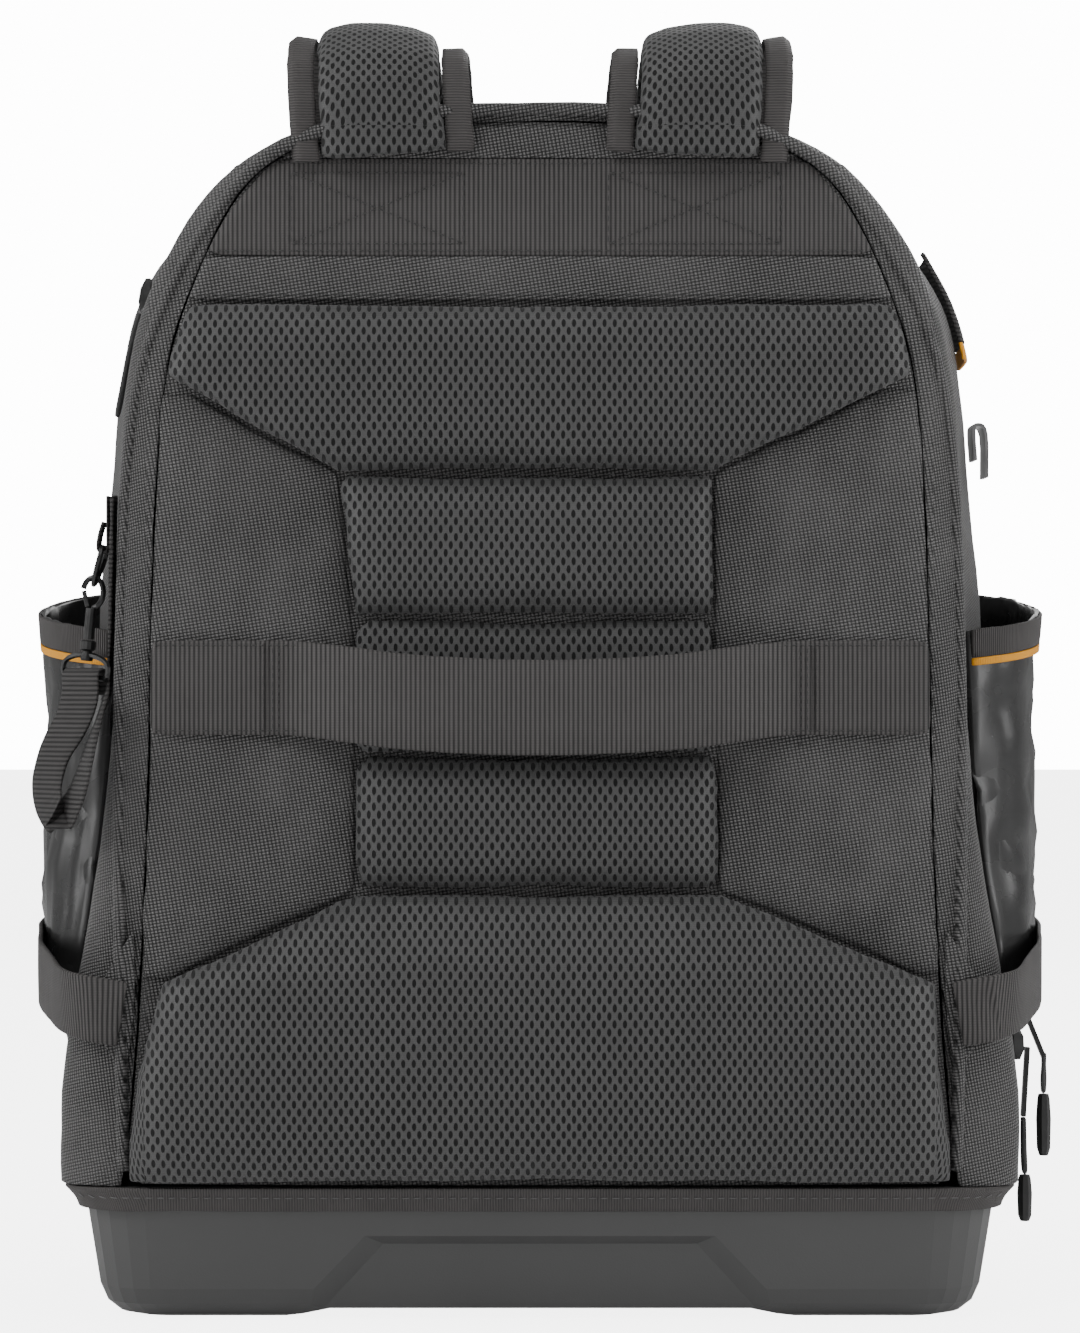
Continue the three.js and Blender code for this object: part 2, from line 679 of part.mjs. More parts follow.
// Trolley strap: a flat band sewn over each wing, and a strap that stands off the pads between.
const trolleyMiddle = mix(up(SEAM_HEIGHTS.lower), up(SEAM_HEIGHTS.middle), 0.49);
const wingFace = -GAP * 2 - PAD_RIM - WING_RISE;
const bandFace = wingFace - WEB_THICK;
for (const [name, side] of Object.entries(SIDES)) {
  const rows = [-0.5, 0.5].map((t) => trolleyMiddle + t * TROLLEY_WIDTH);
  const ends = (z) => [side * (TROLLEY_SPAN - 12), side * (seamAt(z) - GAP)];
  const grid = (y) => rows.map((z) => ends(z).map((x) => vec(x, y, z)));
  add(`trolley_band_${name}`, wall(grid(bandFace), grid(wingFace)), materials.webbing);
}

// Bulge of the strap from the band, and droop, at each share of the way from its end to its middle
const TROLLEY_CURVE = [
  { share: 0, bulge: 0, droop: 0 },
  { share: 0.09, bulge: 0.04, droop: 0.02 },
  { share: 0.28, bulge: 0.72, droop: 0.3 },
  { share: 0.5, bulge: 0.95, droop: 0.7 },
  { share: 1, bulge: 1, droop: 1 },
];
function trolleyStrap() {
  const row = ({ share, bulge, droop }, side) => ({
    at: vec(
      side * mix(TROLLEY_SPAN, 0, share),
      bandFace - GAP - WEB_THICK / 2 - bulge * TROLLEY_BULGE,
      trolleyMiddle - droop * TROLLEY_DROOP,
    ),
    across: vec(0, 0, 1),
  });
  const left = TROLLEY_CURVE.map((point) => row(point, -1));
  const right = TROLLEY_CURVE.slice(0, -1).map((point) => row(point, 1));
  return sweep(frames([...left, ...right.reverse()], 28), ribbon(TROLLEY_WIDTH, WEB_THICK));
}
add("trolley_strap", trolleyStrap(), materials.webbing);

// Shoulder straps

const strapSeat = -GAP * 2 - CLOTH - STRAP_EDGE_THICK / 2;
const strapCrest = BODY_TOP + STRAP_ARCH_RISE;
const pocketFace = BODY_DEPTH + FACE_CROWN + 3 * GAP + FRONT_POCKET_DEPTH;
const strapFront = pocketFace + STRAP_EDGE_THICK / 2 + 4;
const overTop = (share, lift) => ({
  y: deep(share),
  z: topAt(STRAP_CENTRE, deep(share)) + lift,
});

// The strap's middle line leaves the yoke upwards, arches over the top and lies down the front.
// Arch is how much of its roll and splay the strap has there.
const STRAP_ROUTE = [
  { y: strapSeat, z: yokeHigh + GAP, arch: 0 },
  { y: strapSeat - 2.5, z: mix(yokeHigh, strapCrest, 0.4), arch: 0.5 },
  { y: strapSeat, z: mix(yokeHigh, strapCrest, 0.74), arch: 0.9 },
  { y: deep(0.08), z: strapCrest - 1.5, arch: 1 },
  { y: deep(0.21), z: strapCrest, arch: 1 },
  { ...overTop(0.46, 30), arch: 0.6 },
  { ...overTop(0.71, 22), arch: 0.2 },
  { ...overTop(0.92, 17), arch: 0 },
  { y: BODY_DEPTH + 10, z: topAt(STRAP_CENTRE, BODY_DEPTH) - 8, arch: 0 },
  { y: BODY_DEPTH + 16, z: mix(FRONT_POCKET_TOP, topAt(STRAP_CENTRE, BODY_DEPTH), 0.6), arch: 0 },
  { y: strapFront - 3, z: FRONT_POCKET_TOP + 25, arch: 0 },
  { y: strapFront, z: FRONT_POCKET_TOP - 14, arch: 0 },
  { y: strapFront, z: STRAP_END, arch: 0 },
];
const STRAP_STEPS = 24;
const strapFrames = (side) =>
  frames(
    STRAP_ROUTE.map(({ y, z, arch }) => ({
      at: vec(side * (STRAP_CENTRE + STRAP_SPLAY * arch), y, z),
      across: vec(-1, 0, -side * STRAP_ROLL * arch),
    })),
    STRAP_STEPS,
  );

const coreFoot = STRAP_BACKING / 2;
const coreSection = [[-STRAP_CORE_HALF, -coreFoot], [STRAP_CORE_HALF, -coreFoot]];
const CORE_STEPS = 6;
for (let i = 0; i <= CORE_STEPS; i++) {
  const a = (i / CORE_STEPS) * Math.PI;
  const rise = coreFoot * 0.5 + (STRAP_CORE_RISE - coreFoot) * Math.sin(a) ** 0.7;
  coreSection.push([STRAP_CORE_HALF * Math.cos(a), rise]);
}

// Folded binding along one edge of the strap: thin where it is sewn to the core, round outside.
function edgeSection(sign) {
  const thick = STRAP_EDGE_THICK / 2;
  return [
    [0, -coreFoot],
    [0.7, -coreFoot],
    [1, 0],
    [0.75, thick],
    [0, coreFoot],
  ].map(([u, v]) => [sign * (STRAP_CORE_HALF + GAP + u * STRAP_EDGE_WIDTH), v]);
}

for (const [name, side] of Object.entries(SIDES)) {
  const rows = strapFrames(side);
  add(`strap_pad_${name}`, sweep(rows, coreSection), materials.mesh);
  add(`strap_binding_${name}_outer`, sweep(rows, edgeSection(-side)), materials.binding);
  add(`strap_binding_${name}_inner`, sweep(rows, edgeSection(side)), materials.binding);
}

// Ladder buckle with two slots at the lower end of each strap
const buckleTop = STRAP_END - GAP;
function buckle(side) {
  const x = side * STRAP_CENTRE;
  const down = (share) => buckleTop - share * BUCKLE_LENGTH;
  const frame = block(
    vec(x - BUCKLE_HALF, strapFront - BUCKLE_THICK / 2, down(1)),
    vec(x + BUCKLE_HALF, strapFront + BUCKLE_THICK / 2, buckleTop),
  );
  const slots = [0.18, 0.6].map((start) =>
    block(
      vec(x - SIDE_WEB_WIDTH / 2 - 1, strapFront - BUCKLE_THICK, down(start + 0.24)),
      vec(x + SIDE_WEB_WIDTH / 2 + 1, strapFront + BUCKLE_THICK, down(start)),
    ),
  );
  return cut(frame, ...slots);
}
for (const [name, side] of Object.entries(SIDES))
  add(`strap_buckle_${name}`, buckle(side), materials.plastic);

// Side pockets

// Half width of the pocket's wall, from 0 at the body to 1 at its full width, at each share of
// its height
const POCKET_ROWS = [
  { height: 0, bulge: 0.07 },
  { height: 0.06, bulge: 0.5 },
  { height: 0.14, bulge: 0.88 },
  { height: 0.3, bulge: 0.94 },
  { height: 0.55, bulge: 0.9 },
  { height: 0.8, bulge: 0.86 },
  { height: 1, bulge: 1 },
];

// A point of the pocket's wall: turn runs from 0 at its rear edge to 1 at its front edge, height
// from 0 at its foot to 1 at its rim, and out is the distance outside the wall's inner face.
function pocketPoint(side, turn, height, out) {
  const y = mix(POCKET_BACK, POCKET_FRONT, 0.5 - 0.5 * Math.cos(Math.PI * turn));
  const z = mix(POCKET_LOW, POCKET_RIM + POCKET_RISE * turn, height);
  const swell = Math.sin(Math.PI * turn) ** 0.7;
  const bulge = between(POCKET_ROWS, "height", height).bulge * swell;
  const seat = halfAt(y, z) + 3 * GAP;
  const spread = out * (1 - swell) * Math.sign(turn - 0.5) * 0.6;
  return vec(side * (mix(seat, POCKET_HALF - COATED_CLOTH, bulge) + out), y + spread, z);
}

const POCKET_STEPS = 10;
function pocketWall(side, outs, heights) {
  const turns = Array.from({ length: POCKET_STEPS + 1 }, (_, i) => i / POCKET_STEPS);
  const grid = (out) => heights.map((h) => turns.map((t) => pocketPoint(side, t, h, out)));
  return wall(grid(outs[1]), grid(outs[0]));
}

const pocketHeight = POCKET_RIM - POCKET_LOW;
const tapeOuts = [COATED_CLOTH + GAP, COATED_CLOTH + GAP + TAPE_THICK];
const tapeLow = 1 - POCKET_TAPE / pocketHeight;
const pipingHigh = tapeLow - GAP / pocketHeight;
const pipingLow = pipingHigh - PIPING / pocketHeight;
const pocketHeights = POCKET_ROWS.map((row) => row.height);
for (const [name, side] of Object.entries(SIDES)) {
  add(`side_pocket_${name}`, pocketWall(side, [0, COATED_CLOTH], pocketHeights), materials.coated);
  add(`pocket_binding_${name}`, pocketWall(side, tapeOuts, [tapeLow, 1]), materials.binding);
  add(`pocket_piping_${name}`, pocketWall(side, tapeOuts, [pipingLow, pipingHigh]), materials.piping);
}

// Patch pocket on the front face, open at the top

// Across the pocket: share of its half width, and share of its depth. Up the pocket: height above
// its foot, share of its width and share of its depth.
const PATCH_COLUMNS = [
  { x: -1, depth: 0 },
  { x: -1, depth: 0.6 },
  { x: -0.96, depth: 0.93 },
  { x: -0.86, depth: 1 },
  { x: -0.3, depth: 1 },
  { x: 0.3, depth: 1 },
  { x: 0.86, depth: 1 },
  { x: 0.96, depth: 0.93 },
  { x: 1, depth: 0.6 },
  { x: 1, depth: 0 },
];
const PATCH_ROWS = [
  { height: 0, wide: 0.86, depth: 0 },
  { height: 0.02, wide: 0.93, depth: 0.62 },
  { height: 0.06, wide: 0.98, depth: 0.93 },
  { height: 0.14, wide: 1, depth: 1 },
  { height: 0.55, wide: 1, depth: 1 },
  { height: 1, wide: 1, depth: 1 },
];
const patchFoot = BODY_LOW + 4;
function patchPoint(row, column, inset) {
  const x = column.x * (FRONT_POCKET_HALF * row.wide - inset);
  const z = mix(patchFoot, FRONT_POCKET_TOP, row.height) + inset * (1 - row.depth);
  const depth = column.depth * row.depth * (FRONT_POCKET_DEPTH - inset);
  return vec(x, faceAt(x, z) + 3 * GAP + depth, z);
}
const patchGrid = (inset) =>
  PATCH_ROWS.map((row) => PATCH_COLUMNS.map((column) => patchPoint(row, column, inset)));
add("front_pocket", wall(patchGrid(0), patchGrid(CLOTH)), materials.nylon);

// A strip along the pocket's front, between two heights.
function patchStrip(low, high) {
  const across = PATCH_COLUMNS.filter((column) => column.depth === 1);
  const grid = (out) =>
    [low, high].map((z) =>
      across.map(({ x }) => {
        const place = x * FRONT_POCKET_HALF;
        return vec(place, faceAt(place, z) + FRONT_POCKET_DEPTH + 4 * GAP + out, z);
      }),
    );
  return wall(grid(TAPE_THICK), grid(0));
}
const rimFoot = FRONT_POCKET_TOP - POCKET_TAPE;
add("front_pocket_binding", patchStrip(rimFoot, FRONT_POCKET_TOP), materials.binding);
add("front_pocket_piping", patchStrip(rimFoot - GAP - PIPING, rimFoot - GAP), materials.piping);

// Webbing from each buckle round the side pocket to a tab at the back panel's lower corner. Each
// row is a point of its middle line on the right, and the direction of its width.
const webClear = COATED_CLOTH + WEB_THICK / 2 + GAP * 4;
const webRound = (turn, z) => {
  const p = pocketPoint(1, turn, (z - POCKET_LOW) / pocketHeight, webClear);
  return [p.x, p.y, z];
};
const buckleWeb = strapFront + BUCKLE_THICK / 2 + WEB_THICK / 2 + GAP;
const tabWeb = -GAP * 2 - CLOTH * 0.8 - WEB_THICK / 2;
const UPRIGHT = [0, 0, 1];
const WEB_ROUTE = [
  { at: [STRAP_CENTRE, buckleWeb, buckleTop - 4], across: [1, 0, 0] },
  { at: [STRAP_CENTRE + 1, buckleWeb, buckleTop - BUCKLE_LENGTH - 3], across: [1, 0, 0.1] },
  { at: [STRAP_CENTRE + 15, buckleWeb, 166], across: [0.75, 0, 0.66] },
  { at: [STRAP_CENTRE + 48, buckleWeb - 2, 152], across: [0.2, 0, 1] },
  { at: [BODY_HALF - 6, BODY_DEPTH + 10, 143], across: UPRIGHT },
  { at: [BODY_HALF + 24, deep(0.93), 139], across: UPRIGHT },
  { at: webRound(0.75, 137), across: UPRIGHT },
  { at: webRound(0.5, 135), across: UPRIGHT },
  { at: webRound(0.25, 133), across: UPRIGHT },
  { at: [BODY_HALF + 31.5, GUSSET_DEPTH + 8, 130], across: UPRIGHT },
  { at: [BODY_HALF + 23.5, 22, 126], across: UPRIGHT },
  { at: [BODY_HALF + 19.5, 9, 123.5], across: [0.05, 0, 1] },
  { at: [BODY_HALF + 15, 1, 122], across: [0.15, 0, 1] },
  { at: [BODY_HALF + 8, tabWeb - 0.3, 120.5], across: [0.25, 0, 1] },
  { at: [BODY_HALF - 6, tabWeb - 0.3, 118], across: [0.28, 0, 1] },
];
const mirrored = (side, [x, y, z]) => vec(side * x, y, z);
for (const [name, side] of Object.entries(SIDES)) {
  const rows = WEB_ROUTE.map(({ at, across }) => ({
    at: mirrored(side, at),
    across: mirrored(side, across),
  }));
  const strip = sweep(frames(rows, 38), ribbon(SIDE_WEB_WIDTH, WEB_THICK));
  add(`strap_webbing_${name}`, strip, materials.webbing);
}

// Triangular tab of cloth that holds the webbing's end at the back panel's seam: share of the
// height, and distance outside the seam.
const SIDE_TAB = [
  { height: 0.235, out: 0.5 },
  { height: 0.19, out: -1 },
  { height: 0.14, out: -1 },
  { height: 0.1, out: 0.5 },
  { height: 0.125, out: 8 },
  { height: 0.15, out: 15 },
  { height: 0.19, out: 12 },
];
for (const [name, side] of Object.entries(SIDES)) {
  const line = SIDE_TAB.map(({ height, out }) => [side * (halfAt(0, up(height)) + out), up(height)]);
  add(`side_tab_${name}`, plate(line, -GAP - CLOTH * 0.8, -GAP), materials.nylon);
}

// Snap hook and webbing loop on the left of the gusset

const ringWire = RING_WIRE / 2;
const ringY = 13;
const ringTop = up(0.588);
const tabReach = ringWire + GAP + TAB_CLOTH / 2;
const loopSeat = (z) => -halfAt(deep(0.1), z) - 2 * GAP - LOOP_THICK / 2;
const ringX = loopSeat(ringTop) - LOOP_THICK / 2 - GAP - TAB_CLOTH / 2 - tabReach;
const ringBar = ringTop - ringWire;
const ringLow = ringTop - RING_DROP + ringWire;

// A folded webbing tab that holds the ring's straight bar in its fold
function hookTab() {
  const fold = [0, 45, 90, 135, 180].map((degrees) => [
    tabReach * Math.cos(radians(degrees)),
    -tabReach * Math.sin(radians(degrees)),
  ]);
  const line = [[tabReach, 20], [tabReach, 4], ...fold, [-tabReach * 0.7, 5], [tabReach * 0.15, 10]];
  const placed = line.map(([x, z]) => ({
    at: vec(ringX + x, ringY, ringBar + z),
    across: vec(0, 1, 0),
  }));
  return sweep(frames(placed, 16), ribbon(RING_BAR - 7, TAB_CLOTH));
}
add("hook_tab", hookTab(), materials.webbing);

// The ring hangs from its bar, tilted outwards: share of its half width, drop and tilt.
const RING_BOW = [
  { y: -0.74, drop: 0, tilt: 0 },
  { y: -0.3, drop: 0, tilt: 0 },
  { y: 0.3, drop: 0, tilt: 0 },
  { y: 0.74, drop: 0, tilt: 0 },
  { y: 1, drop: 0.2, tilt: 0.1 },
  { y: 0.75, drop: 0.66, tilt: 0.6 },
  { y: 0, drop: 1, tilt: 1 },
  { y: -0.75, drop: 0.66, tilt: 0.6 },
  { y: -1, drop: 0.2, tilt: 0.1 },
];
function dRing() {
  const points = RING_BOW.map(({ y, drop, tilt }) =>
    vec(ringX - tilt * RING_TILT, ringY + (y * RING_BAR) / 2, mix(ringBar, ringLow, drop)),
  );
  return loopRod(points, ringWire, 28);
}
add("d_ring", dRing(), materials.blackMetal);

// The hook's own frame: +Z along its barrel, from the barrel's foot, with its bow in the XZ plane.
// The ring's lowest point hangs in the top of the bow.
const bowTop = HOOK_RISE + HOOK_REACH - ringWire * 2 - GAP * 2;
const hookGroup = new THREE.Group();
hookGroup.rotation.y = radians(HOOK_LEAN);
hookGroup.position.set(ringX - RING_TILT, ringY, ringLow);
hookGroup.position.sub(vec(0, 0, bowTop).applyEuler(hookGroup.rotation));
hookGroup.updateMatrixWorld(true);
backpack.add(hookGroup);

const NOSE_TURN = 168;
const bowPoint = (degrees) =>
  vec(HOOK_HALF * Math.cos(radians(degrees)), 0, HOOK_RISE + HOOK_REACH * Math.sin(radians(degrees)));
function snapHook() {
  const barrel = new THREE.CylinderGeometry(BARREL_RADIUS, BARREL_RADIUS, BARREL_TOP, 12);
  barrel.rotateX(Math.PI / 2).translate(0, 0, BARREL_TOP / 2);
  const turns = Array.from({ length: 13 }, (_, i) => mix(-78, NOSE_TURN, i / 12));
  const bow = rod(smooth([vec(0.6, 0, BARREL_TOP - 2), ...turns.map(bowPoint)]), ringWire, 20);
  return join(barrel, bow);
}
add("snap_hook", snapHook(), materials.blackMetal, hookGroup);

// Spring gate from the barrel's shoulder to just short of the hook's nose
const GATE_RADIUS = 0.9;
const gateFoot = vec(0.5 - BARREL_RADIUS, 0, BARREL_TOP + GAP * 2);
const gateTip = bowPoint(NOSE_TURN).lerp(gateFoot, 0.12);
const gate = rod(new THREE.LineCurve3(gateFoot, gateTip), GATE_RADIUS, 1);
add("snap_gate", gate, materials.blackMetal, hookGroup);

// Swivel under the barrel: a collar, a knob, and a flat eye for the webbing
const EYE_TOP = -6.4;
const eyeLow = EYE_TOP - EYE_HEIGHT;
const SWIVEL_PROFILE = [
  { radius: 0, z: EYE_TOP - 1.9 },
  { radius: 0.7, z: EYE_TOP - 1.9 },
  { radius: 0.85, z: EYE_TOP - 1 },
  { radius: 0.55, z: -4.6 },
  { radius: 1, z: -3.8 },
  { radius: 1, z: -GAP - 0.6 },
  { radius: 0.8, z: -GAP },
  { radius: 0, z: -GAP },
];
// Right half of the eye's line, from its top: share of the half width, and drop
const EYE_LINE = [
  { half: 0.45, drop: 0 },
  { half: 0.92, drop: 0.3 },
  { half: 1, drop: 0.62 },
  { half: 0.98, drop: 0.9 },
  { half: 0.9, drop: 1 },
  { half: 0.4, drop: 1 },
];
const eyeAcross = vec(Math.cos(radians(EYE_TURN)), -Math.sin(radians(EYE_TURN)), 0);
function swivelEye() {
  const profile = SWIVEL_PROFILE.map(({ radius, z }) => new THREE.Vector2(radius * COLLAR_RADIUS, z));
  const knob = new THREE.LatheGeometry(profile, 12).rotateX(Math.PI / 2);
  const half = EYE_WIDTH / 2 - ringWire;
  const point = (side) => (row) =>
    eyeAcross.clone().multiplyScalar(side * row.half * half).setZ(EYE_TOP - row.drop * EYE_HEIGHT);
  const line = [...EYE_LINE.map(point(1)), ...EYE_LINE.map(point(-1)).reverse()];
  return join(knob, loopRod(line, ringWire, 30));
}
add("swivel_eye", swivelEye(), materials.blackMetal, hookGroup);

// Long loop of webbing: sewn to the gusset behind the ring, down, and up round the swivel's eye
const eyeBar = hookGroup.localToWorld(vec(0, 0, eyeLow));
const wrap = ringWire + LOOP_THICK / 2 + GAP * 3;
function loopWebbing() {
  const width = eyeAcross.clone().negate();
  const facing = vec(-Math.sin(radians(EYE_TURN)), -Math.cos(radians(EYE_TURN)), 0);
  const byBar = (out, rise) => ({
    at: eyeBar.clone().addScaledVector(facing, out).add(vec(0, 0, rise)),
    across: width,
  });
  const round = [0, 45, 90, 135, 180].map((degrees) =>
    byBar(wrap * Math.cos(radians(degrees)), wrap * Math.sin(radians(degrees))),
  );
  const free = (out, y, z, across) => ({ at: vec(-BODY_HALF - out, y, z), across: vec(...across) });
  const rows = [
    { at: vec(loopSeat(316), ringY, 316), across: vec(0, 1, 0) },
    { at: vec(loopSeat(288), ringY + 2, 288), across: vec(0, 1, 0) },
    { at: vec(loopSeat(262) - 0.2, ringY + 6.5, 262), across: vec(0, 1, 0) },
    { at: vec(loopSeat(243) - 0.5, ringY + 5, 243), across: vec(0, 1, 0) },
    free(5.5, 2, 225, [-0.2, 1, 0]),
    free(11, -3, 203, [-0.45, 0.9, 0]),
    free(18, 1, 192, [-0.6, 0.8, 0]),
    free(23.5, 7, 200, [-0.66, 0.75, 0]),
    free(22, 10, 216, [-0.75, 0.66, 0]),
    byBar(wrap + 3, -15),
    byBar(wrap, -6),
    ...round,
    byBar(-wrap, -7),
  ];
  return sweep(frames(rows, 48), ribbon(LOOP_WIDTH, LOOP_THICK));
}
add("loop_webbing", loopWebbing(), materials.webbing);

// Small pieces on the right of the front shell

const clipY = deep(0.57);

// Goods that lie on the shell's right side at its fullest depth. Each row is a place along the
// outline's own table, counted from its foot.
function sidePatch(places, thick) {
  const depths = [-0.5, 0, 0.5].map((t) => clipY + t * SIDE_WEB_WIDTH);
  const point = (y, place, out) => {
    const line = rightHalf(y, -out).reverse();
    return line[Math.floor(place)].clone().lerp(line[Math.floor(place) + 1], place % 1);
  };
  const grid = (out) => places.map((place) => depths.map((y) => point(y, place, out)));
  return wall(grid(4 * GAP + thick), grid(4 * GAP));
}
add("edge_webbing", sidePatch([8.25, 9, 10], WEB_THICK), materials.webbing);
add("edge_tab_yellow", sidePatch([7.92, 8, 8.235], TAPE_THICK), materials.piping);

// Bright steel clip for a tape measure: a plate that stands off the shell, bent back at its top
function tapeClip() {
  const top = up(0.71);
  const seat = (z) => halfAt(clipY, z) + 2 * GAP + CLIP_STEEL / 2;
  const rows = [
    [seat(top - 14), top - 14],
    [seat(top - 3), top - 3],
    [seat(top) + 0.6, top],
    [seat(top) + CLIP_STANDOFF * 0.7, top],
    [seat(top) + CLIP_STANDOFF, top - 3],
    [seat(top) + CLIP_STANDOFF + 0.4, top - CLIP_LENGTH],
  ].map(([x, z]) => ({ at: vec(x, clipY, z), across: vec(0, 1, 0) }));
  return sweep(frames(rows, 16), ribbon(CLIP_WIDTH, CLIP_STEEL));
}
add("tape_clip", tapeClip(), materials.steel);

// Zip sliders, pull tabs, and pull cords with their grips

const chainAt = (z) => halfAt(zipMiddle, z, -ZIP_RIDGE);

// A slider on the zip's chain, on the given side: share of its length, and share of its thickness.
const SLIDER_ROWS = [
  { along: -0.5, thick: 0.5 },
  { along: -0.2, thick: 1 },
  { along: 0.2, thick: 1 },
  { along: 0.5, thick: 0.5 },
];
function slider(side, z) {
  const rings = SLIDER_ROWS.map(({ along, thick }) => {
    const height = z + along * SLIDER_LENGTH;
    const seat = 2 * GAP + Math.max(chainAt(z), chainAt(height));
    const half = SLIDER_WIDTH / 2;
    return [
      vec(side * seat, zipMiddle - half, height),
      vec(side * seat, zipMiddle + half, height),
      vec(side * (seat + thick * SLIDER_THICK), zipMiddle + half * 0.6, height),
      vec(side * (seat + thick * SLIDER_THICK), zipMiddle - half * 0.6, height),
    ];
  });
  return skin(rings, [[0, 1, 2], [0, 2, 3]]);
}
const SLIDER_HEIGHTS = { upper: 120, lower: 103, top: 396 };
add("zip_slider_upper", slider(1, SLIDER_HEIGHTS.upper), materials.blackMetal);
add("zip_slider_lower", slider(1, SLIDER_HEIGHTS.lower), materials.blackMetal);
add("zip_slider_top", slider(-1, SLIDER_HEIGHTS.top), materials.blackMetal);

// A pull tab that hangs from a slider: distances out and down from its face, at both ends.
function pullTab(height, top, foot) {
  const face = chainAt(height) + SLIDER_THICK + TAB_THICK / 2 + GAP * 4;
  const rows = [top, foot].map(({ out, down }) => ({
    at: vec(face + out, zipMiddle, height - down),
    across: vec(0, 1, 0),
  }));
  return sweep(frames(rows, 1), ribbon(TAB_WIDTH, TAB_THICK));
}
add(
  "pull_tab_upper",
  pullTab(SLIDER_HEIGHTS.upper, { out: -0.2, down: -1 }, { out: 9.5, down: 23 }),
  materials.blackMetal,
);
add(
  "pull_tab_lower",
  pullTab(SLIDER_HEIGHTS.lower, { out: 0.2, down: 2 }, { out: -1.4, down: 29 }),
  materials.blackMetal,
);

// Routes of the pull cords: each leaves its tab or slider, turns in a bight, and comes back.
const CORD_ROUTES = {
  pull_cord_upper: [
    [197.5, 46.8, 96.1],
    [197.2, 45.9, 92.5],
    [196.9, 45.5, 88.8],
    [197.1, 46.3, 85.5],
    [197.6, 49, 83.9],
    [198.1, 51.7, 85.5],
    [198.3, 52.5, 88.8],
    [198.1, 52.1, 92.5],
    [197.9, 51.2, 96.1],
  ],
  pull_cord_lower: [
    [189.6, 46.8, 73.2],
    [189.6, 45.8, 68],
    [189.7, 45.4, 62],
    [189.9, 45.4, 57],
    [190.1, 46.4, 53.6],
    [190.2, 49, 52.2],
    [190.1, 51.6, 53.6],
    [190, 52.6, 57],
    [189.9, 52.6, 62],
    [189.8, 52.2, 68],
    [189.8, 51.2, 73.2],
  ],
  pull_loop_top: [
    [-157, 46.6, 388.6],
    [-159, 45.8, 382],
    [-161.3, 45.5, 372],
    [-163.4, 45.4, 361],
    [-165, 45.7, 352.8],
    [-165.9, 49, 349],
    [-165.2, 52.3, 352.8],
    [-163.8, 52.6, 361],
    [-161.9, 52.5, 372],
    [-159.6, 52.2, 382],
    [-157.4, 51.4, 388.6],
  ],
};
for (const [name, points] of Object.entries(CORD_ROUTES))
  add(name, rod(smooth(points.map((p) => vec(...p))), PULL_CORD / 2, 22), materials.cord);

// A rubber grip under the turn of a cord: shares of its height, width and thickness.
const GRIP_ROWS = [
  { height: 0, wide: 0.6, thick: 0.6 },
  { height: 0.12, wide: 0.92, thick: 0.9 },
  { height: 0.6, wide: 1, thick: 1 },
  { height: 0.9, wide: 0.8, thick: 0.85 },
  { height: 1, wide: 0.66, thick: 0.7 },
];
function grip(cord, length) {
  const points = CORD_ROUTES[cord];
  const turn = points[(points.length - 1) / 2];
  const high = turn[2] - PULL_CORD / 2 - GAP;
  const rings = GRIP_ROWS.map(({ height, wide, thick }) =>
    circle(1, 8, 0.5).map(([u, v]) =>
      vec(
        turn[0] + (GRIP_THICK / 2) * thick * u,
        turn[1] + (GRIP_WIDTH / 2) * wide * v,
        high - length * (1 - height),
      ),
    ),
  );
  return skin(rings, fill(rings[0].map((p) => [p.x, p.y])));
}
add("pull_grip_upper", grip("pull_cord_upper", 24), materials.rubber);
add("pull_grip_lower", grip("pull_cord_lower", 18), materials.rubber);

// The group stands on the floor, centred on its own outer box.
const outer = new THREE.Box3().setFromObject(backpack);
const centre = outer.getCenter(vec());
backpack.position.set(-centre.x, -centre.y, -outer.min.z);

export default backpack;
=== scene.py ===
"""Tool backpack seen from its padded back panel: soft goods, stitching, zip and finishes.

Metres, +Z up, the padded back panel towards -Y, +X to the right of someone who looks at it.
"""
import math

import bmesh
import bpy
import numpy as np
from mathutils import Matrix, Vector
from mathutils.bvhtree import BVHTree


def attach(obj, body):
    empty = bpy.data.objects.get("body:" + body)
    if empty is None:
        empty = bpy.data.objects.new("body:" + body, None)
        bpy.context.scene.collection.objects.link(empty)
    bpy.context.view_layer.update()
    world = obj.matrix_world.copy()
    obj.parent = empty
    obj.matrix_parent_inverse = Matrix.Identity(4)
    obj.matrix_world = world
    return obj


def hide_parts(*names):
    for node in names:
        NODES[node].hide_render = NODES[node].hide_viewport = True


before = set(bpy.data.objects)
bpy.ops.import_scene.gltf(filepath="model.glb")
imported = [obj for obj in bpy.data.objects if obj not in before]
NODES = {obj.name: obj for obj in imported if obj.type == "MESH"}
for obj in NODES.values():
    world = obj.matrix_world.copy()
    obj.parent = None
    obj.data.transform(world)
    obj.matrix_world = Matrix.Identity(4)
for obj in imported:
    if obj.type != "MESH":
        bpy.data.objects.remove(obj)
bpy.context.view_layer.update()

MM = 0.001
SHIFT_Y = -104.63  # from the outline's own drawing to the part's centre, mm

# Camera: the photograph is 1080 by 1333, with 2.63 pixels for each millimetre of the back panel
VIEW_HEIGHT = 1333 / 2.63 * MM
VIEW_CENTRE = 0.2504
LENS = 120
SENSOR = 36
BACK_PLANE = -0.11


def link(obj):
    """Adds an object to the scene's collection."""
    bpy.context.scene.collection.objects.link(obj)
    return obj


# Camera and lights
camera = link(bpy.data.objects.new("camera", bpy.data.cameras.new("camera")))
camera.data.lens = LENS
camera.data.sensor_width = SENSOR
camera.data.clip_end = 20
camera.location = (0, BACK_PLANE - VIEW_HEIGHT * LENS / SENSOR, VIEW_CENTRE)
camera.rotation_euler = (math.pi / 2, 0, 0)
bpy.context.scene.camera = camera

